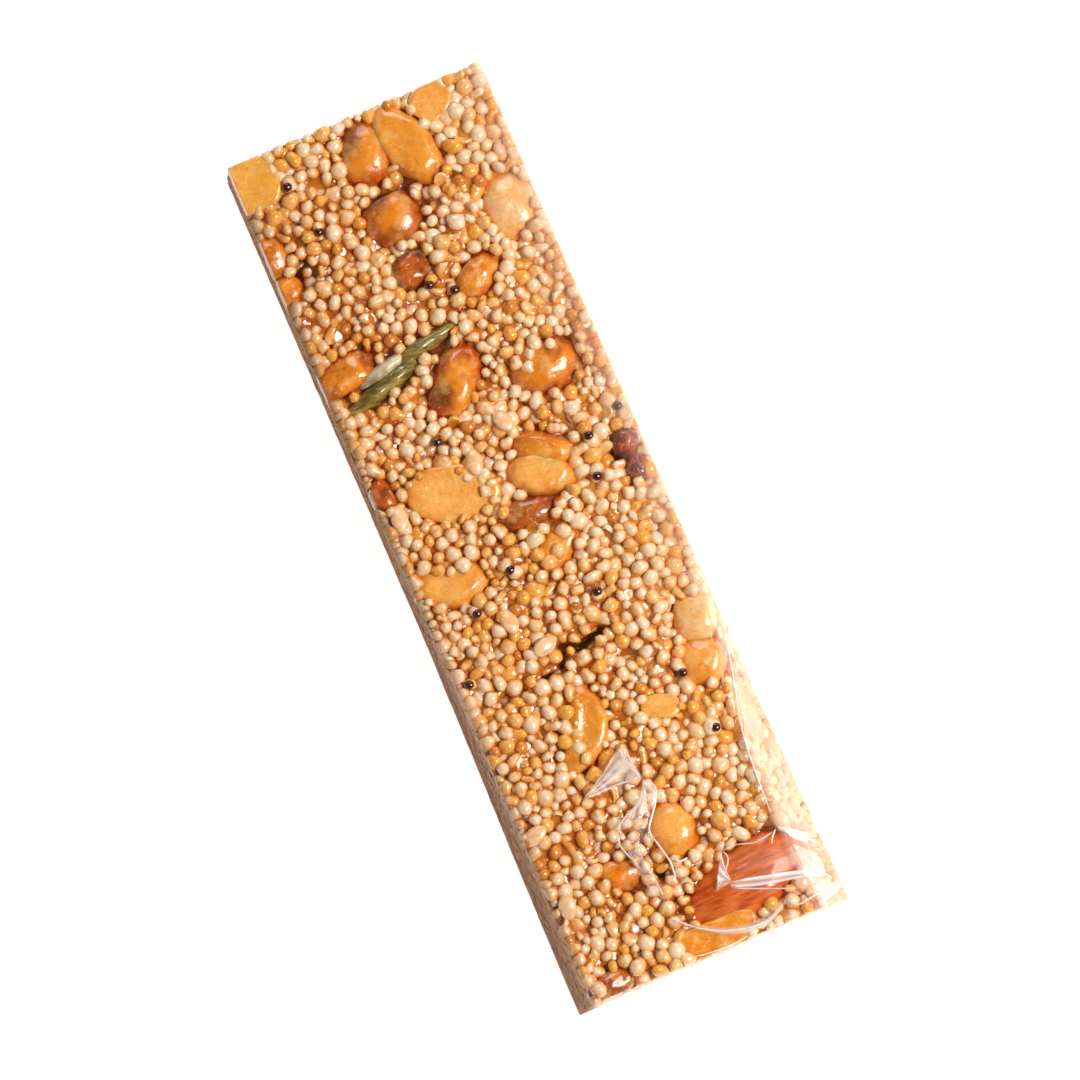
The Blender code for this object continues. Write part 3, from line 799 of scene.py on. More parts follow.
def throwGrains():
    # gives the places, the radii and the layer of each grain
    rng = random.Random(grainMix["seed"])
    places, radii, layers = [], [], []
    for layer, (face, depths, step) in grainLayers.items():
        spots = latticeOver(*sheetSizes[face], step, rng)
        r = np.array([rng.gauss(grainMix["mean radius"], grainMix["radius spread"]) for _ in spots])
        r = np.clip(r, grainMix["smallest radius"], grainMix["largest radius"])
        depth = np.array([rng.uniform(*depths) for _ in spots])
        if layer in ("top", "second"):
            depth += heapDip(spots[:, 0], spots[:, 1])
        points = onFace(face, spots, depth, r)
        keep = np.ones(len(points), bool)
        riding = np.zeros(len(points), bool)
        for cx, cy, reach in riders:
            riding |= np.hypot(points[:, 0] - cx, points[:, 1] - cy) < reach
        if layer == "riders":
            keep = riding
        else:
            for nut in allNuts.values():
                keep &= toNut(points, nut, r * 0.25)[0] > 1.0
        if layer in ("top", "second"):
            keep &= ~(riding & (depth < 1.0))
            for gx, gy, reach in gaps:
                keep &= np.hypot(points[:, 0] - gx, points[:, 1] - gy) > reach
        places.append(points[keep])
        radii.append(r[keep])
        layers += [layer] * int(keep.sum())
    points, radii, layers = np.vstack(places), np.concatenate(radii), np.array(layers)
    # seeds lie still among the grains
    still = [(x, y, barThick - 0.8, 0.7) for x, y in darkSeeds]
    still += [(x, y, barThick - 0.9, 1.2) for x, y, turn in sesame]
    for x, y, z, reach in still:
        keep = np.linalg.norm(points - (x, y, z), axis=1) > reach
        points, radii, layers = points[keep], radii[keep], layers[keep]
    points, radii, layers = fillHoles(points, radii, layers, rng)
    points = settle(points, radii, layers != "riders")
    for crack in cracks:
        keep = awayFromRoute(points[:, 0], points[:, 1], crack) > grainMix["clear of a crack"]
        keep |= points[:, 2] < barThick - grainMix["crack depth"]
        points, radii, layers = points[keep], radii[keep], layers[keep]
    return points, radii, layers


def fillHoles(points, radii, layers, rng):
    # adds grains where the top shows neither grain nor nut
    spots = latticeOver(barWidth - 3, barLength - 3, grainMix["filler step"], rng)
    r = np.array([rng.uniform(*grainMix["filler radius"]) for _ in spots])
    extra = onFace("top", spots, np.array([rng.uniform(*grainMix["filler depth"]) for _ in spots]), r)
    keep = np.ones(len(extra), bool)
    for nut in allNuts.values():
        keep &= toNut(extra, nut, r * 0.1)[0] > 1.0
    for gx, gy, reach in gaps:
        keep &= np.hypot(extra[:, 0] - gx, extra[:, 1] - gy) > reach
    for x, y in [*darkSeeds, *[(x, y) for x, y, turn in sesame]]:
        keep &= np.hypot(extra[:, 0] - x, extra[:, 1] - y) > 1.6
    top = points[:, 2] > barThick - 3.2
    near, size = points[top][:, :2], radii[top]
    added = []
    for index in np.flatnonzero(keep):
        away = np.hypot(near[:, 0] - extra[index, 0], near[:, 1] - extra[index, 1])
        if (away > 0.62 * (size + r[index])).all():
            added.append(index)
            near, size = np.vstack([near, extra[index, :2]]), np.append(size, r[index])
    print(f"{len(added)} grains fill holes")
    layers = np.concatenate([layers, np.full(len(added), "top", layers.dtype)])
    return np.vstack([points, extra[added]]), np.concatenate([radii, r[added]]), layers


def awayFromRoute(x, y, route):
    away = np.full(len(x), 1e9)
    for (ax, ay), (bx, by) in zip(route, route[1:]):
        dx, dy = bx - ax, by - ay
        t = np.clip(((x - ax) * dx + (y - ay) * dy) / (dx * dx + dy * dy), 0, 1)
        away = np.minimum(away, np.hypot(x - ax - t * dx, y - ay - t * dy))
    return away


def ballOfFaces(cuts):
    # a ball from a cube whose sides are cut into squares
    drawing = bmesh.new()
    bmesh.ops.create_cube(drawing, size=2.0)
    bmesh.ops.subdivide_edges(drawing, edges=drawing.edges, cuts=cuts - 1, use_grid_fill=True)
    points = np.array([vert.co for vert in drawing.verts])
    faces = [tuple(vert.index for vert in face.verts) for face in drawing.faces]
    drawing.free()
    # an even spread over the ball
    points = np.tan(points * math.pi / 4 * 0.92) / math.tan(math.pi / 4 * 0.92)
    return points / np.linalg.norm(points, axis=1)[:, None], faces


def lobed(directions, lobes):
    # furthest reach over several balls, with creases between them
    reach = np.zeros(len(directions))
    for cx, cy, cz, r in lobes:
        c = np.array((cx, cy, cz))
        along = directions @ c
        inside = r * r - c @ c + along * along
        hit = along + np.sqrt(np.maximum(inside, 0.0))
        reach = np.maximum(reach, np.where(inside > 0, hit, 0.0))
    return directions * reach[:, None]


def grainShape(kind):
    ball, faces = ballOfFaces(3)
    x, y, up = ball.T
    if kind in ("plain", "under"):
        points = ball * (1.0 + 0.10 * ease(up, 0.75, 1.0) - 0.08 * ease(up, -0.7, -1.0))[:, None]
    elif kind == "dimpled":
        points = ball * (1.0 - 0.42 * ease(up, 0.55, 1.0) + 0.06 * ease(x, 0.3, 1.0))[:, None]
    elif kind == "keeled":
        points = ball * (0.92 + 0.28 * ease(np.abs(x), 0.45, 0.0) * ease(up, -0.1, 0.5))[:, None]
    elif kind == "popped":
        points = lobed(ball, ((0.32, 0.1, 0.1, 0.78), (-0.36, 0.32, 0.0, 0.66), (-0.1, -0.5, 0.15, 0.62),
                              (0.05, 0.05, -0.45, 0.60)))
    elif kind == "blocky":
        points = ball / (np.abs(ball) ** 4.5).sum(1)[:, None] ** (1 / 4.5) * (0.92, 0.86, 0.80)
        points[:, 0] += 0.18 * points[:, 2]
    elif kind == "twin":
        points = lobed(ball, ((0.50, 0.0, 0.0, 0.80), (-0.56, 0.1, 0.08, 0.70)))
    elif kind == "pear":
        waist = ease(np.abs(up - 0.35), 0.3, 0.0)
        points = ball * (1.0 + 0.45 * np.maximum(up, 0) ** 3 - 0.12 * waist)[:, None] * (0.92, 0.92, 1.0)
    elif kind == "curled":
        points = ball * (0.66, 1.25, 0.66)
        points[:, 0] += 0.45 * points[:, 1] ** 2 - 0.25
    elif kind == "husk":
        points = ball * (1.0, 1.15, 0.75)
        hollow = 0.25 - 0.35 * (1 - np.minimum(1, np.hypot(x, y)))
        points[:, 2] = np.where(up > 0.1, hollow, points[:, 2])
    else:
        points = ball * (0.84, 0.84, 0.88)
    points *= (1.0 + grainMix["unevenness"] * smoothNoise(ball, 0.9, len(kind)))[:, None]
    reach = np.linalg.norm(points, axis=1).max()
    return points * min(1.0, grainMix["furthest reach"] / reach), faces


def grainTree():
    tree, wires = newTree("scatterGrains", {
        "Grain": ("Object", None), "Smallest": ("Float", 0.8), "Largest": ("Float", 1.2), "Seed": ("Int", 7),
        "Finish": ("Material", None)})
    start = wires["Geometry"]
    shape = start.make("GeometryNodeObjectInfo", {}, {"Object": wires["Grain"]}, "Geometry")
    turns = {"Min": (0.0, 0.0, 0.0), "Max": (math.tau, math.tau, math.tau), "Seed": wires["Seed"]}
    turn = start.make("FunctionNodeRandomValue", {"data_type": "FLOAT_VECTOR"}, turns)
    stretches = {"Min": wires["Smallest"], "Max": wires["Largest"], "Seed": wires["Seed"]}
    stretch = start.make("FunctionNodeRandomValue", {"data_type": "FLOAT_VECTOR"}, stretches)
    radius = start.make("GeometryNodeInputNamedAttribute", {"data_type": "FLOAT"}, {"Name": "radius"})
    sizing = {"Vector": stretch, "Scale": radius * mm}
    scale = start.make("ShaderNodeVectorMath", {"operation": "SCALE"}, sizing)
    placed = start.make("GeometryNodeInstanceOnPoints", {}, {
        "Points": start, "Instance": shape, "Rotation": turn, "Scale": scale})
    solid = start.make("GeometryNodeRealizeInstances", {}, {"Geometry": placed})
    endTree(start.make("GeometryNodeSetMaterial", {}, {"Geometry": solid, "Material": wires["Finish"]}))
    return tree


grainTones = {
    # the top, a yellower top, the sides, which are partly painted shade, the glazed rim, and the painted
    # shade of what lies deep
    "puffedGrain": ((0.98, 0.73, 0.50), (0.93, 0.42, 0.045), (0.84, 0.42, 0.10), (0.57, 0.17, 0.005),
                    (0.17, 0.022, 0.0004)),
    "toastedGrain": ((0.84, 0.36, 0.06), (0.66, 0.22, 0.03), (0.66, 0.22, 0.02), (0.46, 0.11, 0.005),
                     (0.24, 0.04, 0.002)),
}
grainLook = {
    "rim in the light": (0.93, 0.44, 0.08),
    "deep in the light": (0.60, 0.19, 0.015),
    "shadedFlank": (0.27, 0.14, 0.075),
    "coat IOR": 1.7,
    "light goes in": 0.0006,
}


def grainMaterial(name):
    material, wire = newMaterial(name)
    cream, honey, body, rim, deep = grainTones[name]
    tint, depth = attributeValue(wire, "tint"), attributeValue(wire, "depth")
    # the germ is a small darker spot at one end of the grain's own axis
    germ = attributeValue(wire, "ownUp").within(0.90, 0.98)
    cluster, blotch = noiseAt(wire, 7.0, 2.0), noiseAt(wire, 1.0, 3.0)
    across, up = alongAxis(wire, "X"), alongAxis(wire, "Z")
    # painted shade on the left flank and towards the left, painted light on the right of the top
    shadedFlank = across.within(-18.5, -21.0)
    paintedLightRight = (across + alongAxis(wire, "Y") * 0.06).within(3.0, 17.0) * up.within(4.0, 9.0)
    paintedShadeLeft = across.within(0.0, -20.0)
    # the syrup gathers round the lower half of each grain; the sides also darken as painted shade, less so
    # where painted light falls on the right
    rise = (up - attributeValue(wire, "middle")) / attributeValue(wire, "radius")
    color = mixColors((tint + cluster.within(0.45, 0.75) * 0.25).within(0.62, 1.0), cream, honey)
    side = (rise + (blotch - 0.5) * 0.8).within(0.95, 0.35)
    color = mixColors(side * (1.0 - 0.5 * paintedLightRight), color, body)
    glaze = (rise + (blotch - 0.5) * 1.4).within(0.60, -0.15) + germ * 0.35 + depth.within(1.6, 2.8) * 0.5
    color = mixColors(paintedShadeLeft * 0.15, color, rim)
    glazed = mixColors(paintedLightRight, rim, grainLook["rim in the light"])
    color = mixColors(glaze.within(0.0, 1.0) * (1.0 - 0.3 * paintedLightRight), color, glazed)
    # painted shade: grains deep under the wrap, and more so on the left, turn to the deep tone, which is
    # lighter under the painted light on the right
    low = (depth + paintedShadeLeft * 0.7).within(2.0, 3.6) * 0.9
    color = mixColors(low, color, mixColors(paintedLightRight, deep, grainLook["deep in the light"]))
    color = mixColors(shadedFlank * 0.75, color, grainLook["shadedFlank"])
    bumps = [(noiseAt(wire, 1.2, 2.0), 0.6, 0.40), (noiseAt(wire, 0.4, 2.0), 0.3, 0.06)]
    # painted glow: the glazed parts give off a faint golden light of their own
    glow = mixColors(glaze.within(0.0, 1.2), (0.10, 0.05, 0.02), (1.0, 0.40, 0.05))
    extra = {"Coat Weight": 1.0 - shadedFlank, "Coat Roughness": 0.06, "Coat IOR": grainLook["coat IOR"],
             "Specular IOR Level": 0.2, "Emission Color": glow, "Emission Strength": 0.04,
             "Subsurface Weight": 0.45, "Subsurface Radius": (1.0, 0.88, 0.75),
             "Subsurface Scale": grainLook["light goes in"]}
    output(wire, surface(wire, color, 0.45 + 0.45 * shadedFlank, extra, bumps))
    return material


def pressFlush(piece):
    # what would stand out of the wrap is pressed flat against it
    x, y, z = meshPoints(piece).T
    gap = grainMix["gap under the wrap"]
    y = np.clip(y, gap - halfLength, halfLength - gap)
    z = np.clip(z, gap, None)
    x = np.clip(x, leftX(y, z) + gap, rightX(y, z) - gap)
    z = np.minimum(z, wrapHeight(x, y) + grainMix["may press into the wrap"])
    piece.data.vertices.foreach_set("co", (np.stack([x, y, z], 1) * mm).astype(np.float32).ravel())
    piece.data.update()


def makeGrains():
    points, radii, layers = throwGrains()
    rng = random.Random(grainMix["seed"] + 1)
    kinds, shares = list(grainMix["kinds"]), list(grainMix["kinds"].values())
    chosen = np.array(["under" if layer == "under" else rng.choices(kinds, shares)[0] for layer in layers])
    tree = grainTree()
    creamy, toasted = grainMaterial("puffedGrain"), grainMaterial("toastedGrain")
    least, most = grainMix["stretch"]
    for index, kind in enumerate(kinds + ["under"]):
        mine = chosen == kind
        corners, faces = grainShape(kind)
        own = corners / np.maximum(np.linalg.norm(corners, axis=1), 1e-6)[:, None]
        shape = meshObject(f"shape_{kind}", corners / mm, faces, {"ownUp": own[:, 2]})
        facesOutward(shape)
        tint = [rng.random() for _ in range(int(mine.sum()))]
        piece = meshObject(f"grains_{kind}", points[mine], [],
                           {"radius": radii[mine], "tint": tint, "middle": points[mine][:, 2]})
        finish = toasted if kind == "toasted" else creamy
        grown(piece, tree, {"Grain": shape, "Smallest": least, "Largest": most, "Seed": 7 + index,
                            "Finish": finish})
        bpy.data.objects.remove(shape)
        pressFlush(piece)
        storeDepth(piece)
        finishPiece(piece)
    print(f"{len(points)} grains lie")
    return points, radii


grainPlaces, grainRadii = makeGrains()


# sesame and dark seeds

def seedSpots(name, places, sink):
    x, y = np.array([p[0] for p in places]), np.array([p[1] for p in places])
    z = wrapHeight(x, y) - sink
    turns = [math.radians(p[2]) if len(p) > 2 else 0.0 for p in places]
    return meshObject(name, np.stack([x, y, z], 1), [], {"turn": turns})


def seedTree():
    tree, wires = newTree("laySeeds", {
        "Seed Shape": ("Object", None), "Tilt": ("Float", 0.25), "Seed": ("Int", 3),
        "Finish": ("Material", None)})
    start = wires["Geometry"]
    shape = start.make("GeometryNodeObjectInfo", {}, {"Object": wires["Seed Shape"]}, "Geometry")
    turn = start.make("GeometryNodeInputNamedAttribute", {"data_type": "FLOAT"}, {"Name": "turn"})
    leans = {"Min_001": wires["Tilt"] * -1.0, "Max_001": wires["Tilt"], "Seed": wires["Seed"]}
    lean = start.make("FunctionNodeRandomValue", {"data_type": "FLOAT"}, leans, "Value_001")
    rotation = start.make("ShaderNodeCombineXYZ", {}, {"X": lean, "Y": lean, "Z": turn})
    placed = start.make("GeometryNodeInstanceOnPoints", {}, {
        "Points": start, "Instance": shape, "Rotation": rotation})
    solid = start.make("GeometryNodeRealizeInstances", {}, {"Geometry": placed})
    endTree(start.make("GeometryNodeSetMaterial", {}, {"Geometry": solid, "Material": wires["Finish"]}))
    return tree


def seedMaterial(name, light, shade, roughness):
    material, wire = newMaterial(name)
    lines = noiseAt(wire, 0.8, 4.0)
    color = mixColors(lines.within(0.35, 0.7), light, shade)
    extra = {"Coat Weight": 0.8, "Coat Roughness": 0.08}
    output(wire, surface(wire, color, roughness, extra, [(lines, 0.3, 0.15)]))
    return material


seedKinds = {
    # size is length, width and thickness; around is rings and points around
    "sesame_seeds": dict(places=sesame, size=(4.4, 2.7, 1.5), around=(14, 16), square=2.0, pointed=0.45,
                         sink=0.7, finish=("sesameHull", (0.94, 0.62, 0.36), (0.84, 0.46, 0.20), 0.35)),
    "dark_seeds": dict(places=darkSeeds, size=(1.6, 1.4, 1.3), around=(10, 12), square=2.1, pointed=0.0,
                       sink=0.55, finish=("darkSeedHull", (0.018, 0.004, 0.003), (0.10, 0.010, 0.006), 0.15)),
}


def makeSeeds():
    tree = seedTree()
    for name, kind in seedKinds.items():
        points, faces = ovalBody(*kind["size"], *kind["around"], kind["square"], kind["pointed"])
        shape = meshObject(f"shape_{name}", points, faces)
        facesOutward(shape)
        piece = seedSpots(name, kind["places"], kind["sink"])
        grown(piece, tree, {"Seed Shape": shape, "Finish": seedMaterial(*kind["finish"])})
        bpy.data.objects.remove(shape)
        finishPiece(piece)


makeSeeds()
print("seeds lie")


# the syrup that holds it all

syrup = {
    "under the top": 2.3,
    "inside the sides": 0.32,
    "climbs a grain": 0.35,      # how far over its middle, as a share of its radius
    "highest climb": 1.6,
    "lower round a nut": 0.8,
    "lower in a gap": 2.8,
    "lower in a crack": 4.0,
    "over the table": 0.35,
    "foot fills the wrap by": 0.22,
    "row step": 0.42,
    "points over the top": 104,
    "points up a side": 14,
    "lump size": 2.6,
    "lump height": 0.12,
    "ripple size": 0.8,
    "ripple height": 0.10,
}
syrupTones = {
    "dark": (0.38, 0.075, 0.003),
    "light": (0.62, 0.18, 0.014),
    "streak": (0.86, 0.34, 0.04),
    "in the light": (0.90, 0.42, 0.08),
    "shadedFlank": (0.17, 0.075, 0.035),
    # painted shade in the hollows deep under the wrap
    "deep": (0.16, 0.018, 0.0006),
    "paler at the ends": (0.70, 0.30, 0.07),
}


def loft(rings):
    points = np.vstack(rings)
    count, faces = len(rings[0]), []
    for row in range(len(rings) - 1):
        a, b = row * count, (row + 1) * count
        for i in range(count):
            j = (i + 1) % count
            faces.append((a + i, a + j, b + j, b + i))
    # each end is closed by a fan round its middle
    for row, order in ((0, -1), (len(rings) - 1, 1)):
        points = np.vstack([points, rings[row].mean(0)])
        a = row * count
        for i in range(count):
            faces.append((a + i, a + (i + 1) % count, len(points) - 1)[::order])
    return points, faces


def section(y, inset, topInset, topPoints, sidePoints, under=0.0):
    # outline of the bar at y, drawn in from the wrap
    z = np.linspace(under, barThick - topInset, sidePoints)
    left = np.stack([leftX(y, z) + inset, np.full_like(z, y), z], 1)
    top = barThick - topInset
    across = np.linspace(float(leftX(y, top)) + inset, float(footHalfWidth(y)) - inset, topPoints + 2)[1:-1]
    height = wrapHeight(across + 0.0, y) - topInset
    inside = across < float(rightX(y, 0.0)) - inset
    top = np.stack([across, np.full_like(across, y), height], 1)[inside]
    low = float(top[-1][2])
    z = np.linspace(low, under, sidePoints)[1:]
    right = np.stack([np.full_like(z, float(footHalfWidth(y)) - inset), np.full_like(z, y), z], 1)
    right[:, 0] = np.minimum(right[:, 0], rightX(y, z) - inset)
    return np.vstack([left, top, right])


def lumpTree():
    tree, wires = newTree("lumpySyrup", {
        "Lump Size": ("Float", 0.0026), "Lump Height": ("Float", 0.0005), "Ripple Size": ("Float", 0.001),
        "Ripple Height": ("Float", 0.0001), "Seed": ("Float", 3.0), "Finish": ("Material", None)})
    start = wires["Geometry"]
    place = start.make("GeometryNodeInputPosition")

    def waves(size, height):
        scale = start.math("DIVIDE", 1.0, size)
        sockets = {"Vector": place, "W": wires["Seed"], "Scale": scale, "Detail": 2.0}
        field = start.make("ShaderNodeTexNoise", {"noise_dimensions": "4D"}, sockets)
        return (field - 0.5) * height * 2.0

    lumps, ripples = (waves(wires[f"{kind} Size"], wires[f"{kind} Height"]) for kind in ("Lump", "Ripple"))
    normal = start.make("GeometryNodeInputNormal")
    away = {"Vector": normal, "Scale": lumps + ripples}
    offset = start.make("ShaderNodeVectorMath", {"operation": "SCALE"}, away)
    moved = start.make("GeometryNodeSetPosition", {}, {"Geometry": start, "Offset": offset})
    solid = start.make("GeometryNodeRealizeInstances", {}, {"Geometry": moved})
    endTree(start.make("GeometryNodeSetMaterial", {}, {"Geometry": solid, "Material": wires["Finish"]}))
    return tree


def syrupMaterial():
    material, wire = newMaterial("amberSyrup")
    pools = noiseAt(wire, 5.0, 3.0)
    streaks = noiseAt(wire, 1.2, 3.0)
    depth = attributeValue(wire, "depth")
    color = mixColors(pools.within(0.35, 0.65), syrupTones["dark"], syrupTones["light"])
    color = mixColors(streaks.within(0.5, 0.75) * 0.3, color, syrupTones["streak"])
    across = alongAxis(wire, "X")
    lit = across.within(4.0, 17.0) * alongAxis(wire, "Z").within(4.0, 9.0)
    color = mixColors(lit * 0.7, color, syrupTones["in the light"])
    # painted shade on the left flank
    shadedFlank = across.within(-18.0, -21.0)
    color = mixColors(shadedFlank * 0.8, color, syrupTones["shadedFlank"])
    # painted shade: the syrup darkens deep under the wrap
    color = mixColors(depth.within(2.0, 3.4), color, syrupTones["deep"])
    # the syrup is paler near both ends
    ends = wire.math("ABSOLUTE", alongAxis(wire, "Y")).within(halfLength - 1.2, halfLength - 0.6)
    color = mixColors(ends * 0.4, color, syrupTones["paler at the ends"])
    # painted glow: the syrup gives off a faint amber light of its own
    extra = {"Coat Weight": 1.0 - shadedFlank, "Coat Roughness": 0.05, "Coat IOR": 1.6, "Subsurface Weight": 0.5,
             "Subsurface Radius": (1.0, 0.88, 0.75), "Subsurface Scale": 0.0010,
             "Emission Color": (1.0, 0.35, 0.04), "Emission Strength": 0.02}
    output(wire, surface(wire, color, 0.2 + 0.7 * shadedFlank, extra, [(streaks, 0.6, 0.5)]))
    return material


def climbed(points):
    # how high the syrup stands between the grains at each point
    x, y = points[:, 0], points[:, 1]
    base = wrapHeight(x, y) - syrup["under the top"]
    weight, total = np.full(len(points), 0.12), 0.12 * base
    order = np.argsort(y)
    sortedY = y[order]
    upper = grainPlaces[:, 2] > barThick - 4.5
    for (gx, gy, gz), r in zip(grainPlaces[upper], grainRadii[upper]):
        first, last = np.searchsorted(sortedY, (gy - 2.0 * r, gy + 2.0 * r))
        near = order[first:last]
        away = ((x[near] - gx) ** 2 + (y[near] - gy) ** 2) / r ** 2
        share = np.exp(-1.6 * away) * np.exp(1.2 * (gz - barThick + 1.6))
        weight[near] += share
        total[near] += share * (gz + syrup["climbs a grain"] * r)
    return total / weight - base


def makeSyrup():
    half = halfLength - syrup["inside the sides"]
    rows = round(2 * half / syrup["row step"])
    rings = []
    for row in range(rows + 1):
        y = -half + 2 * half * row / rows
        rings.append(section(y, syrup["inside the sides"], syrup["under the top"],
                             syrup["points over the top"], syrup["points up a side"],
                             syrup["over the table"]))
    points, faces = loft(rings)
    x, y = points[:, 0], points[:, 1]
    climb = np.clip(climbed(points), 0.0, syrup["highest climb"])
    sunk = np.zeros(len(points))
    for gx, gy, reach in gaps:
        dip = ease(np.hypot(x - gx, y - gy), reach * 1.3, reach * 0.4)
        sunk = np.maximum(sunk, syrup["lower in a gap"] * dip)
    for crack in cracks:
        sunk = np.maximum(sunk, syrup["lower in a crack"] * ease(awayFromRoute(x, y, crack), 1.1, 0.25))
    for nut in allNuts.values():
        around = toNut(points, nut, 0.8)[1]
        sunk = np.maximum(sunk, syrup["lower round a nut"] * ease(around, 1.25, 0.9))
    points[:, 2] -= np.where(points[:, 2] > barThick - 6, sunk - climb, 0.0)
    # the foot fills the wrap, so that the outline is straight
    foot = syrup["foot fills the wrap by"] * ease(points[:, 2], 1.6, 0.7)
    points[:, 0] += np.sign(x) * foot * ease(np.abs(x), 18.0, 20.0)
    points[:, 1] += np.sign(y) * foot * ease(np.abs(y), halfLength - 2.0, halfLength - 0.5)
    slab = meshObject("syrup_slab", points, faces)
    facesOutward(slab)
    labels = ("Lump Size", "Lump Height", "Ripple Size", "Ripple Height")
    values = {label: syrup[label.lower()] * mm for label in labels}
    grown(slab, lumpTree(), {**values, "Finish": syrupMaterial()})
    storeDepth(slab)
    finishPiece(slab)


makeSyrup()
print("syrup is poured")


# the clear film

film = {
    "row step": 0.7,
    "points over the top": 64,
    "points up a side": 20,
    "inside the solid": 0.02,
    "stands off": 0.22,
    "slack size": 9.0,
    "slack": 0.12,
    "cling size": 2.4,
    "cling": 0.08,
    "ridge facets": 8,
    "crease stands off": 0.27,
    "fold stands off": 0.34,
    "fold points": (48, 24),     # along, across
    "fold ripple": 0.25,
    # how milky white the film is painted: painted reflection of the lamp on the shoulder, the right side and
    # the upper left edge
    "haze": {"shoulder": 0.36, "right": 0.24, "left": 0.10},
    "milk": (0.95, 0.70, 0.58),
    "milk low down": (0.90, 0.58, 0.34),
    # painted shade: darker milk on the left flank
    "milk on the flank": (0.30, 0.18, 0.12),
}
# the long crease between the flat top and the shoulder
shoulderCrease = ((21.3, -22.8), (20.4, -27.0), (19.0, -33.0), (17.4, -38.9), (16.7, -42.9),
                  (16.3, -47.9), (16.1, -52.0), (16.0, -55.8))
creases = {
    # half width in millimetres, and how white: the whitened crease, and the painted highlight along it
    "shoulder": dict(half=0.13, sheen=0.8, route=shoulderCrease),
    "shoulder corner": dict(half=0.22, sheen=0.5,
                            route=((16.0, -55.8), (17.8, -57.7), (19.8, -59.2), (21.4, -60.8))),
    "under grains": dict(half=0.12, sheen=0.5,
                         route=((15.7, -56.4), (12.2, -56.9), (9.2, -56.1), (6.6, -56.2))),
    "spur": dict(half=0.12, sheen=0.7, route=((15.8, -56.2), (14.8, -57.2), (14.2, -58.2))),
    "bow left": dict(half=0.12, sheen=0.7, route=((6.9, -55.8), (7.3, -57.6), (5.6, -59.8), (3.6, -61.5))),
    "bow": dict(half=0.20, sheen=0.95,
                route=((6.2, -60.9), (10.8, -62.1), (17.0, -63.7), (19.6, -64.8), (22.0, -67.2))),
    "bow low": dict(half=0.10, sheen=0.6, route=((5.8, -61.8), (9.9, -63.6), (15.6, -66.0))),
    "arc": dict(half=0.13, sheen=0.6,
                route=((-3.8, -60.7), (-3.7, -62.6), (-2.0, -64.6), (0.1, -66.1), (2.4, -67.3), (5.7, -68.3),
                       (8.4, -68.5), (11.0, -68.0), (12.9, -66.9))),
    "corner kink": dict(half=0.10, sheen=0.8,
                        route=((12.9, -66.9), (14.4, -68.1), (16.6, -67.9), (18.4, -67.4))),
    "pinch loop": dict(half=0.14, sheen=0.85,
                       route=((-0.4, -41.4), (1.1, -42.2), (1.5, -43.6), (0.6, -45.4), (-0.3, -46.6),
                              (-1.9, -48.9), (-1.5, -51.5), (-0.9, -54.5), (-1.1, -57.2), (-1.0, -59.1))),
    "pinch left": dict(half=0.10, sheen=0.7,
                       route=((0.6, -44.6), (-2.8, -45.0), (-5.2, -46.1), (-6.6, -47.8), (-6.8, -49.6),
                              (-5.9, -52.4), (-5.0, -55.0))),
    "pinch spike": dict(half=0.10, sheen=0.7,
                        route=((-9.3, -40.7), (-6.4, -39.2), (-3.9, -37.6), (-1.6, -36.0))),
    "pinch spike low": dict(half=0.10, sheen=0.7,
                            route=((-9.3, -40.7), (-5.8, -40.7), (-3.2, -40.7), (-0.8, -41.0))),
    "pinch top": dict(half=0.10, sheen=0.7,
                      route=((-0.5, -35.2), (-0.3, -37.8), (-0.2, -39.8), (-0.2, -41.5))),
    "nut glint": dict(half=0.14, sheen=0.9, route=((-0.2, -54.6), (0.7, -55.1), (1.9, -55.0))),
}
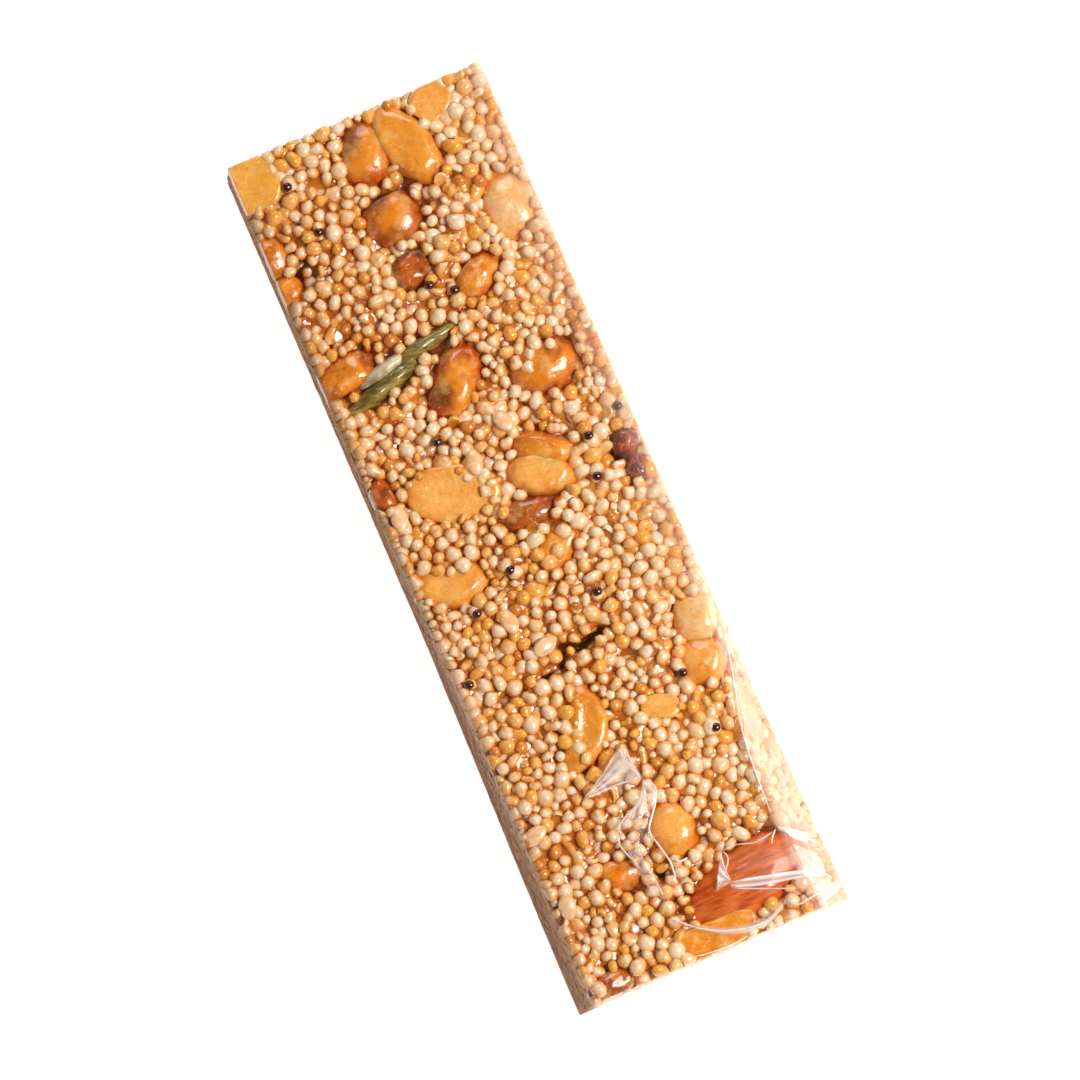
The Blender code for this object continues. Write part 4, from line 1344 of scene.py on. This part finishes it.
panels = {
    # film lifted between two edges: how milky white it is, partly real haze and partly painted highlight, and
    # how many folds run along it
    "bow fan": dict(haze=0.92, streaks=5, lift=0.4,
                    a=((6.9, -55.8), (6.4, -58.8), (6.6, -60.9)),
                    b=((3.6, -61.5), (5.0, -61.2), (6.6, -60.9))),
    "bow pleat": dict(haze=0.8, streaks=2, lift=0.3,
                      a=((6.2, -60.8), (10.8, -62.1), (17.0, -63.8), (20.0, -65.2)),
                      b=((6.0, -61.9), (10.3, -63.3), (16.7, -64.7), (20.0, -65.6))),
    "almond sheet": dict(haze=0.10, streaks=5, lift=0.1,
                         a=((8.6, -58.2), (12.0, -57.6), (16.0, -58.6), (20.5, -62.0)),
                         b=((7.0, -60.8), (11.0, -61.8), (16.5, -63.2), (20.5, -65.4))),
    "shoulder corner": dict(haze=0.6, streaks=3, lift=0.3,
                            a=((16.0, -55.8), (18.0, -57.0), (20.2, -58.4)),
                            b=((16.0, -56.4), (17.6, -58.5), (19.6, -60.0))),
    "arc band": dict(haze=0.6, streaks=2, lift=0.2,
                     a=((-1.8, -64.4), (2.6, -66.8), (6.0, -67.6), (9.0, -67.6), (12.6, -66.2)),
                     b=((-2.0, -65.0), (2.2, -67.8), (6.0, -69.1), (9.4, -69.0), (13.0, -67.0))),
    "corner fan": dict(haze=0.62, streaks=7, lift=0.3,
                       a=((22.0, -67.4), (20.0, -66.2), (17.2, -64.8)),
                       b=((22.0, -67.8), (20.0, -68.8), (17.2, -69.7))),
    "pinch star": dict(haze=0.62, streaks=6, lift=0.6,
                       a=((-9.3, -40.7), (-5.6, -38.6), (-2.6, -36.4), (-0.5, -35.2)),
                       b=((-9.3, -40.7), (-5.6, -41.0), (-2.6, -41.2), (-0.2, -41.5))),
    "pinch neck": dict(haze=0.5, streaks=4, lift=0.4,
                       a=((-2.5, -36.4), (-2.6, -38.6), (-0.4, -41.4)),
                       b=((-0.4, -35.4), (-0.1, -38.0), (0.4, -41.6))),
    "pinch hood": dict(haze=0.55, streaks=7, lift=0.6,
                       a=((0.2, -41.6), (1.4, -42.6), (1.3, -44.4), (0.2, -46.0)),
                       b=((-0.8, -43.4), (-2.6, -44.6), (-5.0, -46.0), (-6.4, -47.6))),
    "pinch skirt": dict(haze=0.18, streaks=3, lift=0.3,
                        a=((-1.6, -45.6), (-3.6, -47.4), (-6.0, -49.2), (-5.6, -52.0)),
                        b=((-0.4, -46.8), (-1.8, -48.8), (-3.6, -50.6), (-4.6, -52.8))),
    "soft band": dict(haze=0.45, streaks=3, lift=0.1,
                      a=((-6.3, -50.4), (-6.0, -53.4), (-5.6, -56.6), (-5.0, -59.6)),
                      b=((-4.6, -50.8), (-4.2, -53.4), (-3.8, -56.4), (-3.8, -59.6))),
}


def filmShader(wire, haze, color, rough, most=0.2):
    # clear with a gloss up to most; milky white where the haze and sheen value is high: the film's own haze,
    # and painted reflections and highlights
    white = {"Color": (1.0, 1.0, 1.0)}
    ripple = noiseAt(wire, 3.0, 3.0)
    bump = wire.make("ShaderNodeBump", {}, {"Height": ripple, "Strength": 0.4, "Distance": 0.5 * mm})
    clear = wire.make("ShaderNodeBsdfTransparent", {}, white)
    gloss = wire.make("ShaderNodeBsdfGlossy", {}, {**white, "Roughness": 0.05, "Normal": bump})
    edge = wire.make("ShaderNodeFresnel", {}, {"IOR": 1.33, "Normal": bump})
    finish = {"Base Color": color, "Roughness": rough, "Normal": bump}
    milkAndSheen = wire.make("ShaderNodeBsdfPrincipled", {}, finish)
    shine = wire.math("MINIMUM", edge * 0.8, most)
    sheet = wire.make("ShaderNodeMixShader", {}, {0: shine, 1: clear, 2: gloss})
    return wire.make("ShaderNodeMixShader", {}, {0: haze, 1: sheet, 2: milkAndSheen})


def filmMaterial():
    material, wire = newMaterial("clearFilm")
    haze = attributeValue(wire, "haze")
    patchy = noiseAt(wire, 4.0, 3.0).within(0.3, 0.7)
    # painted shade on the left flank: darker milk and less gloss
    shadedFlank = alongAxis(wire, "X").within(-17.0, -20.5)
    low = alongAxis(wire, "Z").within(9.0, 5.0)
    color = mixColors(low, film["milk"], film["milk low down"])
    color = mixColors(shadedFlank, color, film["milk on the flank"])
    output(wire, filmShader(wire, haze * (0.5 + 0.8 * patchy), color, 0.35, 0.12 - 0.11 * shadedFlank))
    return material


def foldMaterial(name):
    material, wire = newMaterial(name)
    haze = attributeValue(wire, "haze")
    # the milky white of the folds is partly whitened film and partly painted highlight
    output(wire, filmShader(wire, haze, (0.98, 0.95, 0.94), 0.15))
    return material


# the haze is painted reflection: milky where the lamp reflects off the shoulder, the right side and the upper
# left edge
def filmHazeAndSheen(points):
    x, y, z = points.T
    creaseX, creaseY = np.array(shoulderCrease[::-1]).T
    pastCrease = x - np.interp(y, creaseY, creaseX)
    shoulder = ease(pastCrease, -0.3, 0.5) * ease(y, -21, -24) * ease(z, 2.0, 6.0)
    right = ease(footHalfWidth(y) - x, 5.5, 0.2) * ease(z, 3.0, 9.0)
    left = ease(x, -19.6, -20.8) * ease(z, barThick, barThick - 2.5)
    places = {"shoulder": shoulder, "right": right, "left": left}
    return np.maximum.reduce([film["haze"][label] * share for label, share in places.items()])


def makeFilm():
    rings = []
    rows = round(barLength / film["row step"])
    for row in range(rows + 1):
        y = -halfLength + barLength * row / rows
        rings.append(section(y, film["inside the solid"], 0.0, film["points over the top"],
                             film["points up a side"], film["inside the solid"]))
    points, faces = loft(rings)
    slack = smoothNoise(points, film["slack size"], 2) * film["slack"]
    cling = smoothNoise(points, film["cling size"], 5) * film["cling"]
    points[:, 2] += np.where(points[:, 2] > 5, slack + cling + film["stands off"], 0.0)
    hull = meshObject("clear_film", points, faces, {"haze": filmHazeAndSheen(points)})
    facesOutward(hull)
    hull.data.materials.append(filmMaterial())
    finishPiece(hull)


def smoothRoute(route, step=0.25):
    # an even, rounded line through the route's points
    route = np.array(route, float)
    padded = np.vstack([2 * route[0] - route[1], route, 2 * route[-1] - route[-2]])
    line = []
    for a, b, c, d in zip(padded, padded[1:], padded[2:], padded[3:]):
        count = max(2, int(np.linalg.norm(c - b) / step))
        t = (np.arange(count) / count)[:, None]
        bend = (2 * a - 5 * b + 4 * c - d) * t ** 2 + (3 * b - a - 3 * c + d) * t ** 3
        line.append(0.5 * (2 * b + (c - a) * t + bend))
    return np.vstack(line + [route[-1:]])


def ridgeTree():
    # each line becomes a ridge whose half width, in millimetres, is the attribute of that name
    tree, wires = newTree("filmRidges", {
        "Facets": ("Int", 8), "Widen": ("Float", 1.0), "Finish": ("Material", None)})
    start = wires["Geometry"]
    curve = start.make("GeometryNodeMeshToCurve", {}, {"Mesh": start})
    half = start.make("GeometryNodeInputNamedAttribute", {"data_type": "FLOAT"}, {"Name": "halfWidth"})
    circle = {"Resolution": wires["Facets"], "Radius": mm}
    profile = start.make("GeometryNodeCurvePrimitiveCircle", {}, circle)
    tube = start.make("GeometryNodeCurveToMesh", {}, {
        "Curve": curve, "Profile Curve": profile, "Scale": half * wires["Widen"], "Fill Caps": True})
    solid = start.make("GeometryNodeRealizeInstances", {}, {"Geometry": tube})
    endTree(start.make("GeometryNodeSetMaterial", {}, {"Geometry": solid, "Material": wires["Finish"]}))
    return tree


def makeCreases():
    points, edges, halves, hazeAndSheenValues = [], [], [], []
    for crease in creases.values():
        line = smoothRoute(crease["route"])
        t = np.linspace(0, 1, len(line))
        taper = np.clip(np.minimum(t, 1 - t) * 6, 0.15, 1.0)
        z = wrapHeight(line[:, 0], line[:, 1]) + film["crease stands off"]
        start = sum(len(p) for p in points)
        edges += [(start + i, start + i + 1) for i in range(len(line) - 1)]
        points.append(np.column_stack([line, z]))
        uneven = 1.0 + 0.5 * smoothNoise(points[-1], 2.0, 3)
        halves.append(crease["half"] * taper * uneven)
        hazeAndSheenValues.append(crease["sheen"] * np.clip(taper * 1.2, 0, 1) * uneven.clip(0.6, 1.0))
    mesh = bpy.data.meshes.new("film_creases")
    mesh.from_pydata([tuple(p) for p in np.vstack(points) * mm], edges, [])
    for label, values in (("halfWidth", halves), ("haze", hazeAndSheenValues)):
        layer = mesh.attributes.new(label, "FLOAT", "POINT")
        layer.data.foreach_set("value", np.concatenate(values).astype(np.float32))
    obj = bpy.data.objects.new("film_creases", mesh)
    bpy.context.scene.collection.objects.link(obj)
    grown(obj, ridgeTree(), {"Facets": film["ridge facets"], "Finish": foldMaterial("filmCrease")})
    finishPiece(obj)


def makePanels():
    points, faces, hazeAndSheenValues = [], [], []
    along, across = film["fold points"]
    for index, panel in enumerate(panels.values()):
        edges = []
        for key in "ab":
            line = smoothRoute(panel[key], 0.1)
            edges.append(line[np.linspace(0, len(line) - 1, along).astype(int)])
        start = sum(len(p) for p in points)
        v = np.linspace(0, 1, across)[None, :, None]
        grid = edges[0][:, None, :] * (1 - v) + edges[1][:, None, :] * v
        flat = grid.reshape(-1, 2)
        share = np.tile(np.linspace(0, 1, across), along)
        run = np.repeat(np.linspace(0, 1, along), across)
        folds = [Vector((s * panel["streaks"], r * 0.8, index * 3.7)) for s, r in zip(share, run)]
        wave = np.array([noise.noise(fold) for fold in folds])
        z = wrapHeight(flat[:, 0], flat[:, 1]) + film["fold stands off"]
        z = z + panel["lift"] * np.sin(math.pi * share) * 0.5 + film["fold ripple"] * wave
        points.append(np.column_stack([flat, z]))
        # the haze fades out at all four edges
        soft = np.minimum(ease(share, 0, 0.12), ease(share, 1, 0.88))
        soft = soft * np.minimum(ease(run, 0, 0.08), ease(run, 1, 0.8))
        milk = panel["haze"] * (0.35 + 0.65 * ease(wave, -0.25, 0.35)) * (0.3 + 0.7 * soft)
        hazeAndSheenValues.append(np.clip(milk, 0, 0.95))
        for i in range(along - 1):
            for j in range(across - 1):
                a = start + i * across + j
                faces.append((a, a + across, a + across + 1, a + 1))
    obj = meshObject("film_folds", np.vstack(points), faces, {"haze": np.concatenate(hazeAndSheenValues)})
    obj.data.materials.append(foldMaterial("filmFold"))
    finishPiece(obj)


makeFilm()
makeCreases()
makePanels()
print("film is closed")
